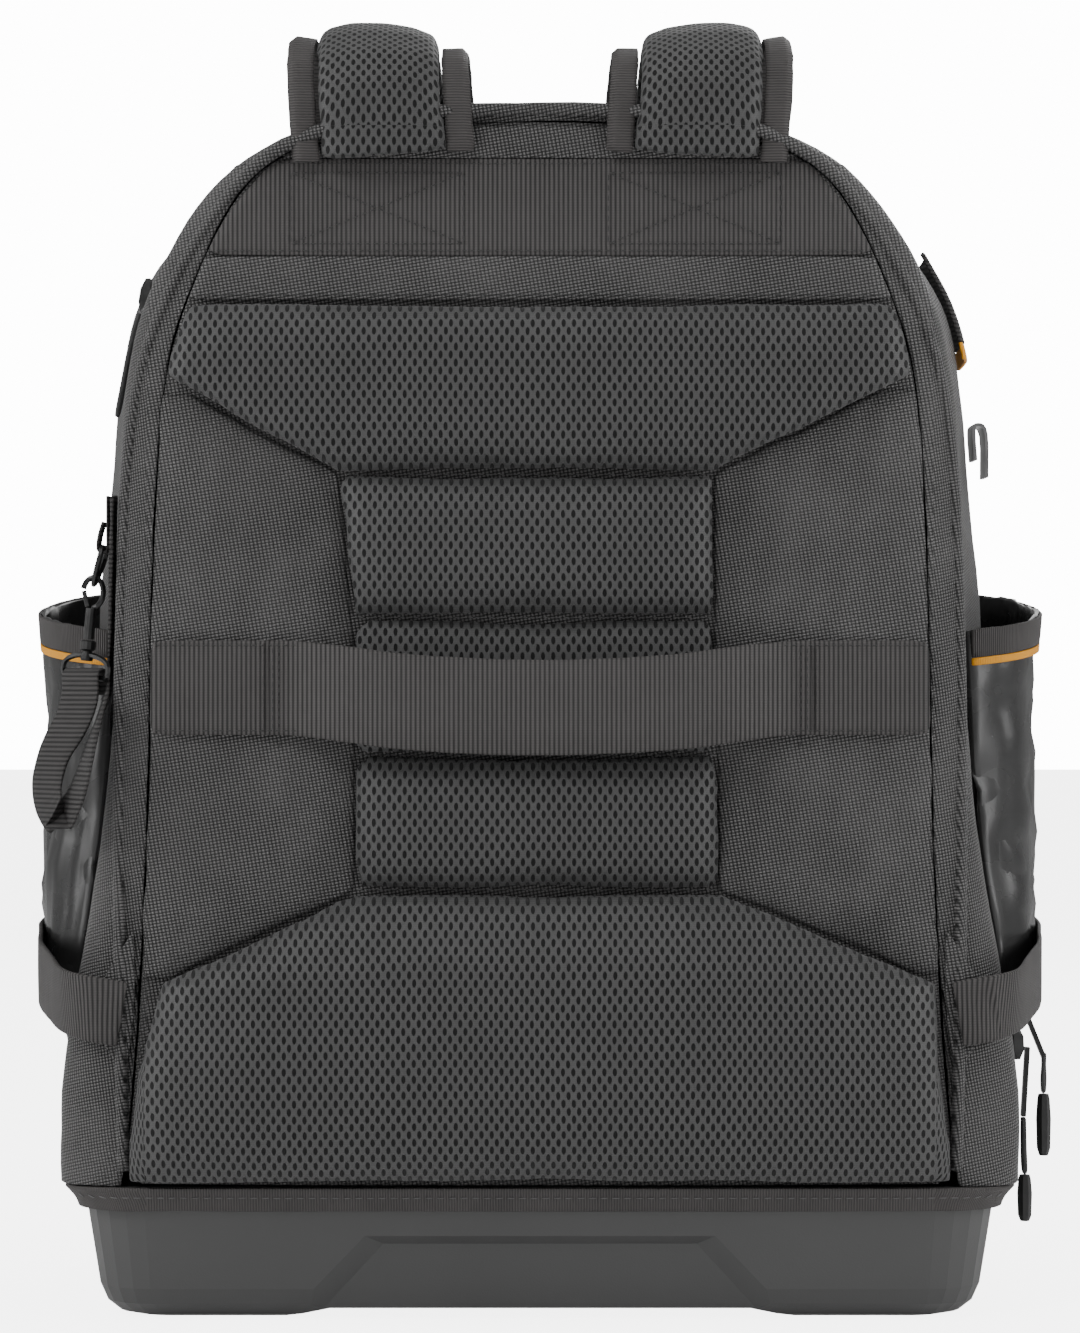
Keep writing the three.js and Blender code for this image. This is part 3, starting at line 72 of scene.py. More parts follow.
LIGHTS = [  # name, place, watts, width
    ("key", (-0.9, -1.5, 1.9), 14, 0.8),
    ("fill", (1.5, -1.7, 0.7), 3.5, 1.5),
    ("crown", (0.1, -0.3, 1.9), 7, 1.0),
    ("rim_left", (-1.5, -0.25, 0.7), 9, 0.5),
    ("rim_right", (1.5, -0.25, 0.7), 9, 0.5),
    ("front", (0.6, 1.6, 1.2), 9, 1.2),
    ("pocket_left", (-1.2, -1.3, 0.35), 2, 0.35),
    ("pocket_right", (1.2, -1.3, 0.35), 2, 0.35),
]
for name, place, watts, width in LIGHTS:
    lamp = link(bpy.data.objects.new(name, bpy.data.lights.new(name, "AREA")))
    lamp.data.energy = watts
    lamp.data.size = width
    lamp.location = place
    lamp.rotation_euler = (Vector((0, 0, 0.25)) - Vector(place)).to_track_quat("-Z", "Y").to_euler()
world = bpy.data.worlds.new("studio")
world.use_nodes = True
backdrop = world.node_tree.nodes["Background"]
backdrop.inputs["Color"].default_value = (1, 1, 1, 1)
# The empty background is white, and lights the object with less than a tenth of that
seen = world.node_tree.nodes.new("ShaderNodeLightPath")
strength = world.node_tree.nodes.new("ShaderNodeMapRange")
strength.inputs["To Min"].default_value = 0.32
strength.inputs["To Max"].default_value = 14.0
world.node_tree.links.new(seen.outputs["Is Camera Ray"], strength.inputs["Value"])
world.node_tree.links.new(strength.outputs["Result"], backdrop.inputs["Strength"])
bpy.context.scene.world = world


# Finishes
class Wire:
    """A socket whose arithmetic adds Math nodes to its material."""

    def __init__(self, finish, socket):
        self.finish = finish
        self.socket = socket

    def __add__(self, other):
        return self.finish.math("ADD", self, other)

    def __radd__(self, other):
        return self.finish.math("ADD", other, self)

    def __sub__(self, other):
        return self.finish.math("SUBTRACT", self, other)

    def __rsub__(self, other):
        return self.finish.math("SUBTRACT", other, self)

    def __mul__(self, other):
        return self.finish.math("MULTIPLY", self, other)

    def __rmul__(self, other):
        return self.finish.math("MULTIPLY", other, self)

    def __truediv__(self, other):
        return self.finish.math("DIVIDE", self, other)

    def __pow__(self, other):
        return self.finish.math("POWER", self, other)

    def __abs__(self):
        return self.finish.math("ABSOLUTE", self)


class Finish:
    """One material: a Principled shader and the nodes that vary it."""

    def __init__(self, name, roughness, metallic=0.0, **fixed):
        self.material = bpy.data.materials.new(name)
        self.material.use_nodes = True
        self.tree = self.material.node_tree
        self.shader = self.tree.nodes["Principled BSDF"]
        for socket, value in {"Roughness": roughness, "Metallic": metallic, **fixed}.items():
            self.shader.inputs[socket].default_value = value
        place = self.node("ShaderNodeTexCoord", out="Object")
        self.place = place
        parts = self.node("ShaderNodeSeparateXYZ", inputs={0: place}, out=None)
        self.x, self.y, self.z = (Wire(self, parts.outputs[i]) for i in range(3))

    def node(self, kind, settings=None, inputs=None, out=0):
        """Adds a node, its settings first and then its sockets' values or links."""
        made = self.tree.nodes.new(kind)
        for key, value in (settings or {}).items():
            setattr(made, key, value)
        for key, value in (inputs or {}).items():
            if isinstance(value, Wire):
                self.tree.links.new(value.socket, made.inputs[key])
            else:
                made.inputs[key].default_value = value
        return made if out is None else Wire(self, made.outputs[out])

    def math(self, operation, *values):
        return self.node(
            "ShaderNodeMath", {"operation": operation}, dict(enumerate(v for v in values))
        )

    def blend(self, share, low, high):
        """Colour between low and high by share."""
        return self.node(
            "ShaderNodeMix", {"data_type": "RGBA"}, {0: share, 6: low, 7: high}, out=2
        )

    def ramp(self, value, low, high, to_low=0.0, to_high=1.0):
        """value from low…high to to_low…to_high, smoothly and held at both ends."""
        return self.node(
            "ShaderNodeMapRange",
            {"interpolation_type": "SMOOTHSTEP"},
            {0: value, 1: low, 2: high, 3: to_low, 4: to_high},
        )

    def noise(self, scale, detail=2.0):
        return self.node(
            "ShaderNodeTexNoise", inputs={"Vector": self.place, "Scale": scale, "Detail": detail}
        )

    def wave(self, value, pitch):
        """Sine of value that repeats every two pitches."""
        return self.math("SINE", value * (math.pi / pitch))

    def colour(self, wire):
        self.tree.links.new(wire.socket, self.shader.inputs["Base Color"])

    def rough(self, wire):
        self.tree.links.new(wire.socket, self.shader.inputs["Roughness"])

    def bump(self, height, depth, strength=1.0):
        made = self.node(
            "ShaderNodeBump", inputs={"Strength": strength, "Distance": depth, "Height": height}, out="Normal"
        )
        self.tree.links.new(made.socket, self.shader.inputs["Normal"])


def grey(value, warm=1.0):
    """Near-grey linear colour, a little warmer where warm is over 1."""
    return (value * warm, value * (2 + warm) / 3 / warm, value / warm, 1.0)


def round_body(f):
    """Distance round the body: across its back, then forward along its left and right sides."""
    left = f.ramp(f.x, -0.1501, -0.15, -1.0, 0.0)
    return f.x + (f.y + 0.105) * (left + f.ramp(f.x, 0.15, 0.1501))


def climb(f):
    """Height, and over the top of the straps the distance forward too."""
    return f.z + (f.y + 0.112) * f.ramp(f.z, 0.455, 0.4551)


def threads(f, across, along, pitch_across, pitch_along):
    """Plain weave: in turn one thread and then the other lies on top, each rounded."""
    a = f.wave(across, pitch_across)
    b = f.wave(along, pitch_along)
    upper = f.math("GREATER_THAN", a * b, 0.0)
    one = abs(a) * (0.45 + 0.55 * abs(b))
    other = abs(b) * (0.45 + 0.55 * abs(a))
    return one * upper + other * (1 - upper)


def nylon_finish():
    """Heavy plain-woven nylon with shiny threads; its colour holds painted highlight on the thread crowns, painted
    shade between them, and broad cloudy patches of painted highlight and shade.
    """
    f = Finish("heavy_nylon", 0.5, **{"Specular IOR Level": 0.45, "Sheen Weight": 0.12, "Sheen Roughness": 0.4})
    slant = round_body(f) + f.z * 0.18
    height = threads(f, slant, f.z - round_body(f) * 0.18, 1.5 * MM, 1.25 * MM)
    # Broad noise patches: in the colour they are painted highlight and painted shade; they also vary the roughness.
    sheen_patches = f.noise(28, 3)
    # Colour: painted highlight on the thread crowns and painted shade between the threads, with broad patches of
    # painted highlight and shade.
    f.colour(f.blend(height * height * 1.35 + (sheen_patches - 0.5) * 0.6, grey(0.003), grey(0.15, 1.015)))
    f.rough(0.58 - 0.24 * height + 0.1 * sheen_patches)
    f.bump(height + 0.4 * f.noise(900), 0.55 * MM, 1.0)
    return f.material


def mesh_finish():
    """Spacer mesh: tall oval holes in rows set half a pitch over, between knitted ribs; the holes are painted near
    black as painted shade and the ribs' crowns painted lighter as painted highlight.
    """
    f = Finish("spacer_mesh", 0.55, **{"Specular IOR Level": 0.4, "Sheen Weight": 0.1})
    drift = f.noise(14, 1) * 0.0016
    across = (round_body(f) + drift) / (3.88 * MM)
    along = (climb(f) + drift) / (6.0 * MM)

    def holes(half):
        a = f.math("FRACT", across + half) - 0.5
        b = f.math("FRACT", along + half) - 0.5
        return (a / 0.2) * (a / 0.2) + (b / 0.25) * (b / 0.25)

    knit = f.ramp(f.math("MINIMUM", holes(0.0), holes(0.5)), 0.7, 1.35)
    # The knit ribs' crowns, through yarn, are painted lighter in the colour as painted highlight; yarn also shapes
    # the bump.
    ribs = abs(f.wave(round_body(f) + f.z * 0.35, 0.62 * MM)) * 0.5
    yarn = ribs + 0.5 * abs(f.wave(f.z, 0.75 * MM))
    hole_shade_and_rib_sheen = knit * (0.62 + 0.25 * yarn + 0.25 * f.noise(40, 2))
    # Colour: the holes painted near black as painted shade, the ribs' crowns painted lighter as painted highlight,
    # over a random tone.
    f.colour(f.blend(hole_shade_and_rib_sheen, grey(0.0006), grey(0.074)))
    f.rough(0.85 - 0.3 * knit)
    f.bump(knit + 0.12 * yarn * knit, 0.8 * MM, 0.9)
    return f.material


def webbing_finish(name, upright, tone=0.094):
    """Woven webbing: rounded ribs across the band, each a row of small thread crossings."""
    f = Finish(name, 0.58, **{"Specular IOR Level": 0.4})
    run, cross = (f.z, round_body(f)) if upright else (round_body(f), f.z)
    ribs = abs(f.wave(run, 1.8 * MM)) ** 0.7
    beads = abs(f.wave(cross, 0.62 * MM))
    height = ribs * (0.75 + 0.25 * beads)
    # Colour: painted highlight on the rib crowns and painted shade in the grooves, over a faint random tone.
    f.colour(f.blend(height * height * 0.95 + 0.15 * f.noise(60, 3), grey(0.005), grey(tone, 1.04)))
    f.rough(0.72 - 0.2 * height)
    f.bump(height, 0.45 * MM, 0.9)
    return f.material


def binding_finish(name, upright):
    """Grosgrain binding tape with fine ribs across it."""
    f = Finish(name, 0.6, **{"Specular IOR Level": 0.35})
    run = f.z if upright else round_body(f)
    ribs = abs(f.wave(run, 1.05 * MM))
    # Colour: painted highlight on the rib crowns and painted shade between the ribs, with a random tone.
    f.colour(f.blend(ribs * 0.7 + f.noise(70, 3) * 0.4, grey(0.015), grey(0.08, 1.05)))
    f.bump(ribs, 0.3 * MM, 0.8)
    return f.material


def coated_finish():
    """Smooth coated cloth with a soft gloss and creases that run down it."""
    f = Finish("coated_cloth", 0.26, **{"Specular IOR Level": 0.7})
    long = f.node("ShaderNodeMapping", inputs={"Vector": f.place, "Scale": (30.0, 30.0, 4.0)})
    crease = f.node("ShaderNodeTexNoise", inputs={"Vector": long, "Scale": 1.0, "Detail": 1.0})
    # The creases also set the colour: painted shade in their hollows and painted highlight on their ridges.
    f.colour(f.blend(crease, grey(0.008), grey(0.034)))
    f.rough(0.2 + 0.14 * f.noise(50, 3))
    f.bump(crease + 0.005 * f.noise(1400), 5.0 * MM, 0.8)
    return f.material


def moulded_finish(name, tone, roughness, grain=0.12 * MM, **fixed):
    """Moulded plastic or rubber with a fine spark-eroded grain and faint scuffs."""
    f = Finish(name, roughness, **fixed)
    cloud = f.noise(12, 4)
    f.colour(f.blend(cloud, grey(tone * 0.85), grey(tone * 1.15)))
    f.rough(roughness - 0.06 + 0.14 * f.noise(35, 4))
    f.bump(f.noise(1500, 2), grain, 0.5)
    return f.material


def yellow_finish():
    """Yellow tape with fine ribs."""
    f = Finish("yellow_tape", 0.5, **{"Specular IOR Level": 0.4})
    ribs = abs(f.wave(round_body(f), 0.9 * MM))
    # Colour: painted highlight on the rib crowns and painted shade between the ribs, with a random tone.
    f.colour(f.blend(ribs * 0.6 + f.noise(60) * 0.4, (0.62, 0.22, 0.004, 1), (0.95, 0.42, 0.012, 1)))
    f.bump(ribs, 0.15 * MM, 0.6)
    return f.material


def metal_finish(name, low, high, roughness):
    """Coated or bright metal with light handling marks."""
    f = Finish(name, roughness, 0.9)
    marks = f.noise(220, 4)
    f.colour(f.blend(marks, grey(low), grey(high)))
    f.rough(roughness - 0.08 + 0.2 * f.noise(90, 4))
    f.bump(marks, 0.05 * MM, 0.3)
    return f.material


def cord_finish():
    """Braided cord: strands crossing on both slants, with pale flecks that are painted highlight on the strand crowns
    and painted shade between them.
    """
    f = Finish("braided_cord", 0.6)
    turn = f.x + f.y
    braid = threads(f, turn + f.z, f.z - turn, 0.45 * MM, 0.45 * MM)
    # Colour: painted highlight on the strand crowns and painted shade between the strands.
    f.colour(f.blend(braid, grey(0.012), grey(0.12)))
    f.bump(braid, 0.25 * MM, 0.9)
    return f.material


NYLON = nylon_finish()
MESH = mesh_finish()
WEB_LEVEL = webbing_finish("webbing_level", False)
WEB_UPRIGHT = webbing_finish("webbing_upright", True, 0.06)
BIND_LEVEL = binding_finish("binding_level", False)
BIND_UPRIGHT = binding_finish("binding_upright", True)
COATED = coated_finish()
TRAY = moulded_finish("moulded_tray", 0.064, 0.4, **{"Specular IOR Level": 0.5})
BUCKLE = moulded_finish("moulded_black", 0.016, 0.4)
RUBBER = moulded_finish("grip_rubber", 0.025, 0.6)
YELLOW = yellow_finish()
DARK_METAL = metal_finish("black_metal", 0.02, 0.06, 0.3)
BRIGHT_METAL = metal_finish("bright_metal", 0.2, 0.42, 0.28)
CORD = cord_finish()
ZIP_TAPE = binding_finish("zip_tape", False)
THREAD = moulded_finish("sewing_thread", 0.03, 0.5, 0.05 * MM)
PALE_THREAD = moulded_finish("seam_thread", 0.12, 0.6, 0.05 * MM)
COIL = moulded_finish("zip_coil", 0.09, 0.35, 0.05 * MM)


# Making pieces
def piece(name, points, faces, material, uv=None, smooth=True):
    """A mesh object at the origin that rides on the root body."""
    mesh = bpy.data.meshes.new(name)
    mesh.from_pydata(np.asarray(points).tolist(), [], np.asarray(faces).tolist())
    mesh.polygons.foreach_set("use_smooth", np.full(len(mesh.polygons), smooth))
    obj = link(bpy.data.objects.new(name, mesh))
    return settle(obj, material)


def settle(obj, material, body="root"):
    """Gives a finished piece its material and its body."""
    obj.data.materials.clear()
    obj.data.materials.append(material)
    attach(obj, body)
    return obj


def through(points, count):
    """Catmull-Rom curve through the points: count places, evenly spaced along it."""
    p = np.asarray(points, float)
    p = np.vstack([2 * p[0] - p[1], p, 2 * p[-1] - p[-2]])
    t = np.linspace(0, 1, 24, endpoint=False)[:, None]
    runs = [
        0.5 * (2 * b + (c - a) * t + (2 * a - 5 * b + 4 * c - d) * t**2 + (3 * b - a - 3 * c + d) * t**3)
        for a, b, c, d in zip(p, p[1:], p[2:], p[3:])
    ]
    line = np.vstack([*runs, p[-2:-1]])
    step = np.r_[0, np.cumsum(np.linalg.norm(np.diff(line, axis=0), axis=1))]
    at = np.linspace(0, step[-1], count)
    return np.stack([np.interp(at, step, line[:, i]) for i in range(3)], 1)


def tube(name, path, radius, material, sides=12):
    """Round tube along a path: at each place a circle square to the path, closed at both ends."""
    path = np.asarray(path, float)
    along = np.gradient(path, axis=0)
    along /= np.linalg.norm(along, axis=1)[:, None]
    side = np.cross(along, (1.0, 0.02, 0.03))
    side /= np.linalg.norm(side, axis=1)[:, None]
    other = np.cross(along, side)
    turn = np.linspace(0, 2 * np.pi, sides, endpoint=False)
    ring = np.cos(turn)[None, :, None] * side[:, None] + np.sin(turn)[None, :, None] * other[:, None]
    points = (path[:, None] + radius * ring).reshape(-1, 3)
    n = len(path)
    i, j = np.meshgrid(np.arange(n - 1), np.arange(sides), indexing="ij")
    k = (j + 1) % sides
    quads = np.stack([i * sides + j, i * sides + k, (i + 1) * sides + k, (i + 1) * sides + j], -1)
    faces = quads.reshape(-1, 4).tolist()
    faces += [list(range(sides))[::-1], list(range((n - 1) * sides, n * sides))]
    obj = piece(name, points, np.array(faces, dtype=object), material)
    return obj


# Pull cords, on the routes that the part's solids follow (millimetres, outline's own drawing)
CORD_RADIUS = 1.0
CORD_ROUTES = {
    "pull_cord_upper": [
        [197.6, 47.6, 98.4], [197.5, 46.8, 96.1], [197.2, 45.9, 92.5], [196.9, 45.5, 88.8],
        [197.1, 46.3, 85.5], [197.6, 49, 83.9], [198.1, 51.7, 85.5], [198.3, 52.5, 88.8],
        [198.1, 52.1, 92.5], [197.9, 51.2, 96.1], [197.8, 50.4, 98.4],
    ],
    "pull_cord_lower": [
        [189.6, 46.8, 73.2], [189.6, 45.8, 68], [189.7, 45.4, 62], [189.9, 45.4, 57],
        [190.1, 46.4, 53.6], [190.2, 49, 52.2], [190.1, 51.6, 53.6], [190, 52.6, 57],
        [189.9, 52.6, 62], [189.8, 52.2, 68], [189.8, 51.2, 73.2],
    ],
    "pull_loop_top": [
        [-157, 46.6, 388.6], [-159, 45.8, 382], [-161.3, 45.5, 372], [-163.4, 45.4, 361],
        [-165, 45.7, 352.8], [-165.9, 49, 349], [-165.2, 52.3, 352.8], [-163.8, 52.6, 361],
        [-161.9, 52.5, 372], [-159.6, 52.2, 382], [-157.4, 51.4, 388.6],
    ],
}
for name, route in CORD_ROUTES.items():
    path = through((np.array(route) + (0, SHIFT_Y, 0)) * MM, 72)
    cord = tube(name + "_braid", path, CORD_RADIUS * MM, CORD)
    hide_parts(name)


# Soft goods
def copied(node):
    """A loose copy of a CAD node with its doubled points merged, as a bmesh."""
    work = bmesh.new()
    work.from_mesh(NODES[node].data)
    bmesh.ops.remove_doubles(work, verts=work.verts, dist=4e-6)
    return work


def baked(obj):
    """Applies every modifier of an object and leaves the plain mesh."""
    graph = bpy.context.evaluated_depsgraph_get()
    mesh = bpy.data.meshes.new_from_object(obj.evaluated_get(graph))
    obj.modifiers.clear()
    obj.data = mesh
    mesh.polygons.foreach_set("use_smooth", np.full(len(mesh.polygons), True))
    return obj


def places(mesh):
    flat = np.empty(len(mesh.vertices) * 3)
    mesh.vertices.foreach_get("co", flat)
    return flat.reshape(-1, 3)


def outward(mesh):
    flat = np.empty(len(mesh.vertices) * 3, np.float32)
    mesh.vertices.foreach_get("normal", flat)
    return flat.reshape(-1, 3)


def ripple(mesh, height, wave):
    """Moves each point along its normal by a sum of four crossing sine waves, of that height and length."""
    p = places(mesh)
    k = 2 * np.pi / wave
    x, y, z = p.T
    swell = (
        np.sin(k * (x + 0.6 * z) + 0.7)
        + np.sin(k * 1.7 * (z - 0.45 * x + 0.4 * y) + 2.1)
        + 0.7 * np.sin(k * 2.6 * (0.3 * x + z + 0.7 * y) + 4.0)
        + 0.5 * np.sin(k * 3.9 * (x - 0.2 * z - y) + 1.3)
    )
    p += outward(mesh) * (swell * height / 3.2)[:, None]
    mesh.vertices.foreach_set("co", p.ravel())
    mesh.update()


def sewn(node, material, levels=2, edge=32, crease=0.85, height=0.0, wave=50 * MM):
    """A sewn piece over a CAD node: its own faces in quads, rounded between the edges sharper than edge degrees, then rippled."""
    work = copied(node)
    bmesh.ops.join_triangles(
        work, faces=work.faces, angle_face_threshold=math.radians(12), angle_shape_threshold=math.radians(50)
    )
    held = work.edges.layers.float.get("crease_edge") or work.edges.layers.float.new("crease_edge")
    for line in work.edges:
        if len(line.link_faces) == 2 and line.calc_face_angle(0) > math.radians(edge):
            line[held] = crease
    mesh = bpy.data.meshes.new(node + "_cloth")
    work.to_mesh(mesh)
    work.free()
    obj = link(bpy.data.objects.new(node + "_cloth", mesh))
    if levels:
        round_off = obj.modifiers.new("round", "SUBSURF")
        round_off.levels = round_off.render_levels = levels
    baked(obj)
    if height:
        ripple(obj.data, height, wave)
    settle(obj, material)
    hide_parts(node)
    return obj


def stuffed(node, material, voxel, cap, lean=(0.25, 1.0, 0.25), height=0.0):
    """A foam pad over a CAD node: remeshed, swollen by cloth under pressure, then one subdivision.

    No point moves further than cap, and lean holds the swelling back along each axis, so that
    neighbouring pads still meet at their seams."""
    work = copied(node)
    mesh = bpy.data.meshes.new(node + "_pad")
    work.to_mesh(mesh)
    work.free()
    obj = link(bpy.data.objects.new(node + "_pad", mesh))
    even = obj.modifiers.new("even", "REMESH")
    even.mode = "VOXEL"
    even.voxel_size = voxel
    baked(obj)
    start = places(obj.data)
    cloth = obj.modifiers.new("cloth", "CLOTH")
    cloth.settings.use_pressure = True
    cloth.settings.uniform_pressure_force = 4
    cloth.settings.effector_weights.gravity = 0
    cloth.settings.quality = 4
    for step in range(1, 21):
        bpy.context.scene.frame_set(step)
    baked(obj)
    bpy.context.scene.frame_set(1)
    moved = (places(obj.data) - start) * lean
    size = np.linalg.norm(moved, axis=1)[:, None]
    moved *= np.minimum(1, cap / np.maximum(size, 1e-9))
    obj.data.vertices.foreach_set("co", (start + moved).ravel())
    obj.data.update()
    fine = obj.modifiers.new("fine", "SUBSURF")
    fine.levels = fine.render_levels = 1
    baked(obj)
    if height:
        ripple(obj.data, height, 60 * MM)
    settle(obj, material)
    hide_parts(node)
    return obj


soft = {}
for node, cap in [("pad_bottom", 5), ("pad_lower", 3), ("pad_middle", 2), ("pad_upper", 3), ("pad_top", 3)]:
    soft[node] = stuffed(node, MESH, 2.6 * MM, cap * MM, height=0.5 * MM)
for side in ("left", "right"):
    soft["strap_pad_" + side] = stuffed(
        "strap_pad_" + side, MESH, 2.6 * MM, 1.2 * MM, lean=(0.6, 0.6, 0.6), height=0.3 * MM
    )

# Cloth and tape: node, finish, slot, subdivision, sharp edge, ripple height and length in millimetres
GOODS = [
    ("back_gusset", NYLON, "nylon", 2, 40, 0.5, 60),
    ("side_gusset", NYLON, "nylon", 2, 40, 0.8, 90),
    ("front_shell", NYLON, "nylon", 2, 40, 0.8, 90),
    ("back_panel", NYLON, "nylon", 2, 40, 0, 50),
    ("wing_left", NYLON, "nylon", 3, 40, 0.9, 62),
    ("wing_right", NYLON, "nylon", 3, 40, 0.9, 55),
    ("upper_strip", NYLON, "nylon", 3, 30, 0.15, 48),
    ("top_yoke", NYLON, "nylon", 3, 30, 0.25, 40),
    ("top_band", WEB_LEVEL, "webbing", 3, 30, 0.1, 60),
    ("trolley_band_left", WEB_LEVEL, "webbing", 3, 30, 0.1, 40),
    ("trolley_band_right", WEB_LEVEL, "webbing", 3, 30, 0.1, 40),
    ("trolley_strap", WEB_LEVEL, "webbing", 2, 40, 0.3, 90),
    ("main_zip", ZIP_TAPE, "zip", 1, 30, 0, 50),
    ("base_binding", BIND_LEVEL, "binding", 2, 40, 0.25, 45),
    ("front_pocket", NYLON, "nylon", 2, 40, 0.5, 60),
    ("front_pocket_binding", BIND_LEVEL, "binding", 2, 40, 0.1, 40),
    ("front_pocket_piping", YELLOW, "piping_yellow", 2, 40, 0, 40),
    ("hook_tab", WEB_UPRIGHT, "webbing", 2, 40, 0, 40),
    ("loop_webbing", WEB_UPRIGHT, "webbing", 2, 40, 0.3, 40),
    ("edge_webbing", WEB_UPRIGHT, "webbing", 2, 40, 0.1, 40),
    ("edge_tab_yellow", YELLOW, "piping_yellow", 2, 40, 0, 40),
]
for side in ("left", "right"):
    GOODS += [
        ("side_pocket_" + side, COATED, "coated", 2, 40, 1.9, 52),
        ("pocket_binding_" + side, BIND_LEVEL, "binding", 2, 40, 0.2, 30),
        ("pocket_piping_" + side, YELLOW, "piping_yellow", 2, 40, 0, 30),
        ("strap_webbing_" + side, WEB_LEVEL, "webbing", 2, 40, 0.2, 60),
        ("side_tab_" + side, NYLON, "nylon", 3, 30, 0.3, 30),
        (f"strap_binding_{side}_outer", BIND_UPRIGHT, "binding", 2, 40, 0.3, 34),
        (f"strap_binding_{side}_inner", BIND_UPRIGHT, "binding", 2, 40, 0.3, 30),
    ]
for node, material, slot, levels, edge, height, wave in GOODS:
    soft[node] = sewn(node, material, levels, edge, height=height * MM, wave=wave * MM)

# Rigid pieces keep their own shapes
RIGID = {
    "base_tray": TRAY, "strap_buckle_left": BUCKLE, "strap_buckle_right": BUCKLE,
    "d_ring": DARK_METAL, "snap_hook": DARK_METAL, "snap_gate": DARK_METAL, "swivel_eye": DARK_METAL,
    "tape_clip": BRIGHT_METAL, "zip_slider_upper": DARK_METAL, "zip_slider_lower": DARK_METAL,
    "zip_slider_top": DARK_METAL, "pull_tab_upper": DARK_METAL, "pull_tab_lower": DARK_METAL,
    "pull_grip_upper": RUBBER, "pull_grip_lower": RUBBER,
}
for node, material in RIGID.items():
    NODES[node].data.materials.clear()
    NODES[node].data.materials.append(material)


# Stitching
def surface(objects):
    """All the objects' faces as one tree that rays can be cast on."""
    points, faces, count = [], [], 0
    for obj in objects:
        p = places(obj.data)
        points.extend(map(Vector, p))
        faces.extend([v + count for v in f.vertices] for f in obj.data.polygons)
        count += len(p)
    return BVHTree.FromPolygons(points, faces)


def stitches(name, runs, tree, toward, pitch=3.4, length=2.3, thick=0.55, material=THREAD):
    """Rows of stitches: each a slim spindle with tapered ends, sunk a little where a ray meets the cloth.

    runs are lists of corners in millimetres; toward is the direction in which the needle looks."""
    toward = Vector(toward)
    centres, ways, ups = [], [], []
    for corners in runs:
        corners = np.asarray(corners, float) * MM
        for a, b in zip(corners, corners[1:]):
            count = max(1, int(np.linalg.norm(b - a) / (pitch * MM)))
            for share in (np.arange(count) + 0.5) / count:
                hit, normal, _, _ = tree.ray_cast(Vector(a + (b - a) * share) - toward * 0.3, toward)
                if hit is None:
                    continue
                if normal.dot(toward) > 0:
                    normal = -normal
                way = Vector(b - a).normalized()
                way = (way - normal * way.dot(normal)).normalized()
                centres.append(hit + normal * 0.12 * MM)
                ways.append(way)
                ups.append(normal)
    if not centres:
        return None
    # spindle: rings along it, four corners round it
    rows = np.array([(-0.5, 0.25), (-0.25, 0.9), (0.25, 0.9), (0.5, 0.25)])
    turn = np.linspace(0, 2 * np.pi, 6, endpoint=False)
    template = np.array([
        (s * length, r * thick / 2 * math.cos(t), r * thick / 2 * math.sin(t)) for s, r in rows for t in turn
    ]) * MM
    c, w, u = (np.array([tuple(v) for v in group]) for group in (centres, ways, ups))
    s = np.cross(u, w)
    points = (
        c[:, None]
        + template[None, :, 0:1] * w[:, None]
        + template[None, :, 1:2] * s[:, None]
        + template[None, :, 2:3] * u[:, None]
    )
    quads = [(6 * r + t, 6 * r + (t + 1) % 6, 6 * r + 6 + (t + 1) % 6, 6 * r + 6 + t) for r in range(3) for t in range(6)]
    ends = [tuple(range(6))[::-1], tuple(range(18, 24))]
    k = len(template)
    faces = [tuple(v + i * k for v in f) for i in range(len(c)) for f in (*quads, *ends)]
    return piece(name, points.reshape(-1, 3), np.array(faces, dtype=object), material)


def flat(*corners):
    """Corners (x, z) on the back panel as points with a y well inside the goods."""
    return [(x, -100, z) for x, z in corners]


back = surface([soft[n] for n in soft if n not in ("front_shell", "side_gusset")])
LOOK = (0, 1, 0)
box_rows = []
for x0, x1 in ((-95, -29), (26, 92)):
    low, high = 411.5, 438.5
    box_rows += [flat((x0, low), (x1, low), (x1, high), (x0, high), (x0, low))]
    box_rows += [flat((x0, low), (x1, high)), flat((x0, high), (x1, low))]
stitches("stitching_top_band", box_rows, back, LOOK)
edge_rows = [
    flat((-124, 442), (124, 442)), flat((-124, 408.8), (124, 408.8)), flat((-131, 392), (131, 392)),
    flat((-105, 226), (-105, 258)), flat((-101.5, 226), (-101.5, 258)),
    flat((105, 226), (105, 258)), flat((101.5, 226), (101.5, 258)),
    flat((-99, 219), (-99, 258)), flat((99, 219), (99, 258)),
    flat((-147, 226), (-92, 226)), flat((-147, 258.5), (-92, 258.5)),
    flat((92, 226), (147, 226)), flat((92, 258.5), (147, 258.5)),
]
stitches("stitching_bands", edge_rows, back, LOOK, pitch=3.0, length=2.1, thick=0.45)
seam_rows = [
    flat((-74, 323.7), (66, 323.7)), flat((-72, 269.1), (66, 269.1)),
    flat((-70, 216.6), (67, 216.6)), flat((-70, 165.3), (68, 165.3)),
]
stitches("stitching_pad_seams", seam_rows, back, LOOK, pitch=2.6, length=1.9, thick=0.5, material=PALE_THREAD)
stitches(
    "stitching_base", [flat((-178, 48), (178, 48))], surface([soft["base_binding"]]), LOOK,
    pitch=4.4, length=3.0, thick=0.6, material=PALE_THREAD,
)

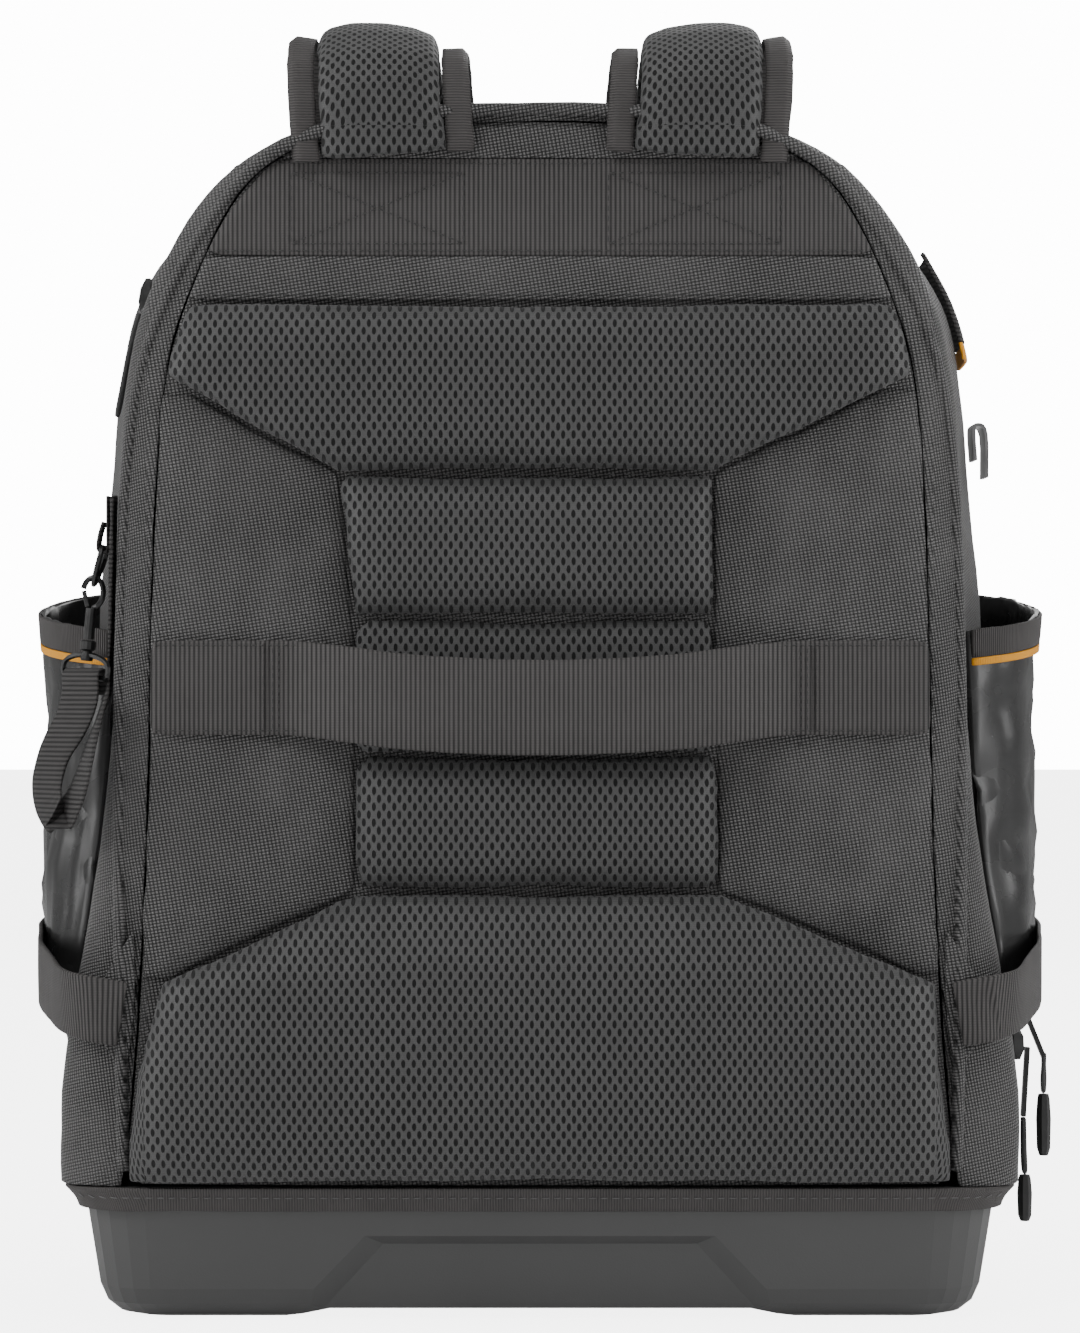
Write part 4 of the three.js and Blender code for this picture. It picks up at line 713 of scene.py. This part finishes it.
# Rolled edge of the rear gusset: a cloth-covered cord along the panel's rim, half sunk where rays meet it
ROLL_RADIUS = 2.5
ROLL_RISE = 0.9
ROLL_LINE = [(159, 58), (160, 120), (161, 190), (160.5, 260), (156.5, 340), (144, 388), (119, 430), (96, 449), (60, 459), (0, 463)]
roll_line = ROLL_LINE + [(-x, z) for x, z in ROLL_LINE[-2::-1]]
level = through([(x * MM, 0, z * MM) for x, z in roll_line], 220)
seats = [back.ray_cast(Vector((x, -0.3, z)), Vector(LOOK))[0] for x, _, z in level]
seats = [seat or Vector((x, -0.1, z)) for seat, (x, _, z) in zip(seats, level)]
roll_y = np.convolve(np.pad([seat.y for seat in seats], 7, mode="edge"), np.ones(15) / 15, "valid")
level[:, 1] = roll_y + (ROLL_RADIUS - ROLL_RISE - 0.6) * MM
roll = tube("rolled_edge", level, ROLL_RADIUS * MM, NYLON, sides=14)

# Zip coil: places round the outline where rays towards the middle meet the zip's tape
ZIP_Y = -55.6
ZIP_PITCH = 1.7
zip_tree = surface([soft["main_zip"]])
turns = np.linspace(-0.42 * np.pi, 1.42 * np.pi, 1400)
rim = []
for turn in turns:
    ray = Vector((-math.cos(turn), 0, -math.sin(turn)))
    hit, normal, _, _ = zip_tree.ray_cast(Vector((0, ZIP_Y * MM, 0.25)) - ray, ray)
    if hit is not None:
        rim.append(tuple(hit))
rim = np.array(rim)
span = np.r_[0, np.cumsum(np.linalg.norm(np.diff(rim, axis=0), axis=1))]
at = np.arange(0, span[-1], ZIP_PITCH * MM)
centre = np.stack([np.interp(at, span, rim[:, i]) for i in range(3)], 1)
way = np.gradient(centre, axis=0)
way /= np.linalg.norm(way, axis=1)[:, None]
across = np.array([0.0, 1.0, 0.0])
up = np.cross(way, across)
up *= np.sign((up * (centre - (0, ZIP_Y * MM, 0.25))).sum(1))[:, None]
turn = np.linspace(0, 2 * np.pi, 6, endpoint=False)
rows = [(-0.5, 0.5), (-0.3, 1.0), (0.3, 1.0), (0.5, 0.5)]
tooth = np.array([(s * 4.4, r * 0.55 * math.cos(t), r * 0.55 * math.sin(t)) for s, r in rows for t in turn]) * MM
coil = (
    (centre + up * 0.25 * MM)[:, None]
    + tooth[None, :, 0:1] * across
    + tooth[None, :, 1:2] * way[:, None]
    + tooth[None, :, 2:3] * up[:, None]
)
quads = [(6 * r + t, 6 * r + (t + 1) % 6, 6 * r + 6 + (t + 1) % 6, 6 * r + 6 + t) for r in range(3) for t in range(6)]
ends = [tuple(range(6))[::-1], tuple(range(18, 24))]
coil_faces = [tuple(v + i * 24 for v in f) for i in range(len(centre)) for f in (*quads, *ends)]
coil_piece = piece("zip_coil", coil.reshape(-1, 3), np.array(coil_faces, dtype=object), COIL)

# Floor
floor_mesh = bpy.data.meshes.new("floor")
floor_mesh.from_pydata([(-9, -9, 0), (9, -9, 0), (9, 9, 0), (-9, 9, 0)], [], [(0, 1, 2, 3)])
floor = link(bpy.data.objects.new("floor", floor_mesh))
pale = Finish("pale_floor", 0.9)
pale.shader.inputs["Base Color"].default_value = (0.92, 0.92, 0.92, 1)
# The floor is seen as white as the background, but throws little of that on the object
looked_at = pale.node("ShaderNodeLightPath", out="Is Camera Ray")
glow = pale.blend(looked_at, (0.02, 0.02, 0.02, 1), (1, 1, 1, 1))
pale.tree.links.new(glow.socket, pale.shader.inputs["Emission Color"])
pale.shader.inputs["Emission Strength"].default_value = 5.0
floor.data.materials.append(pale.material)
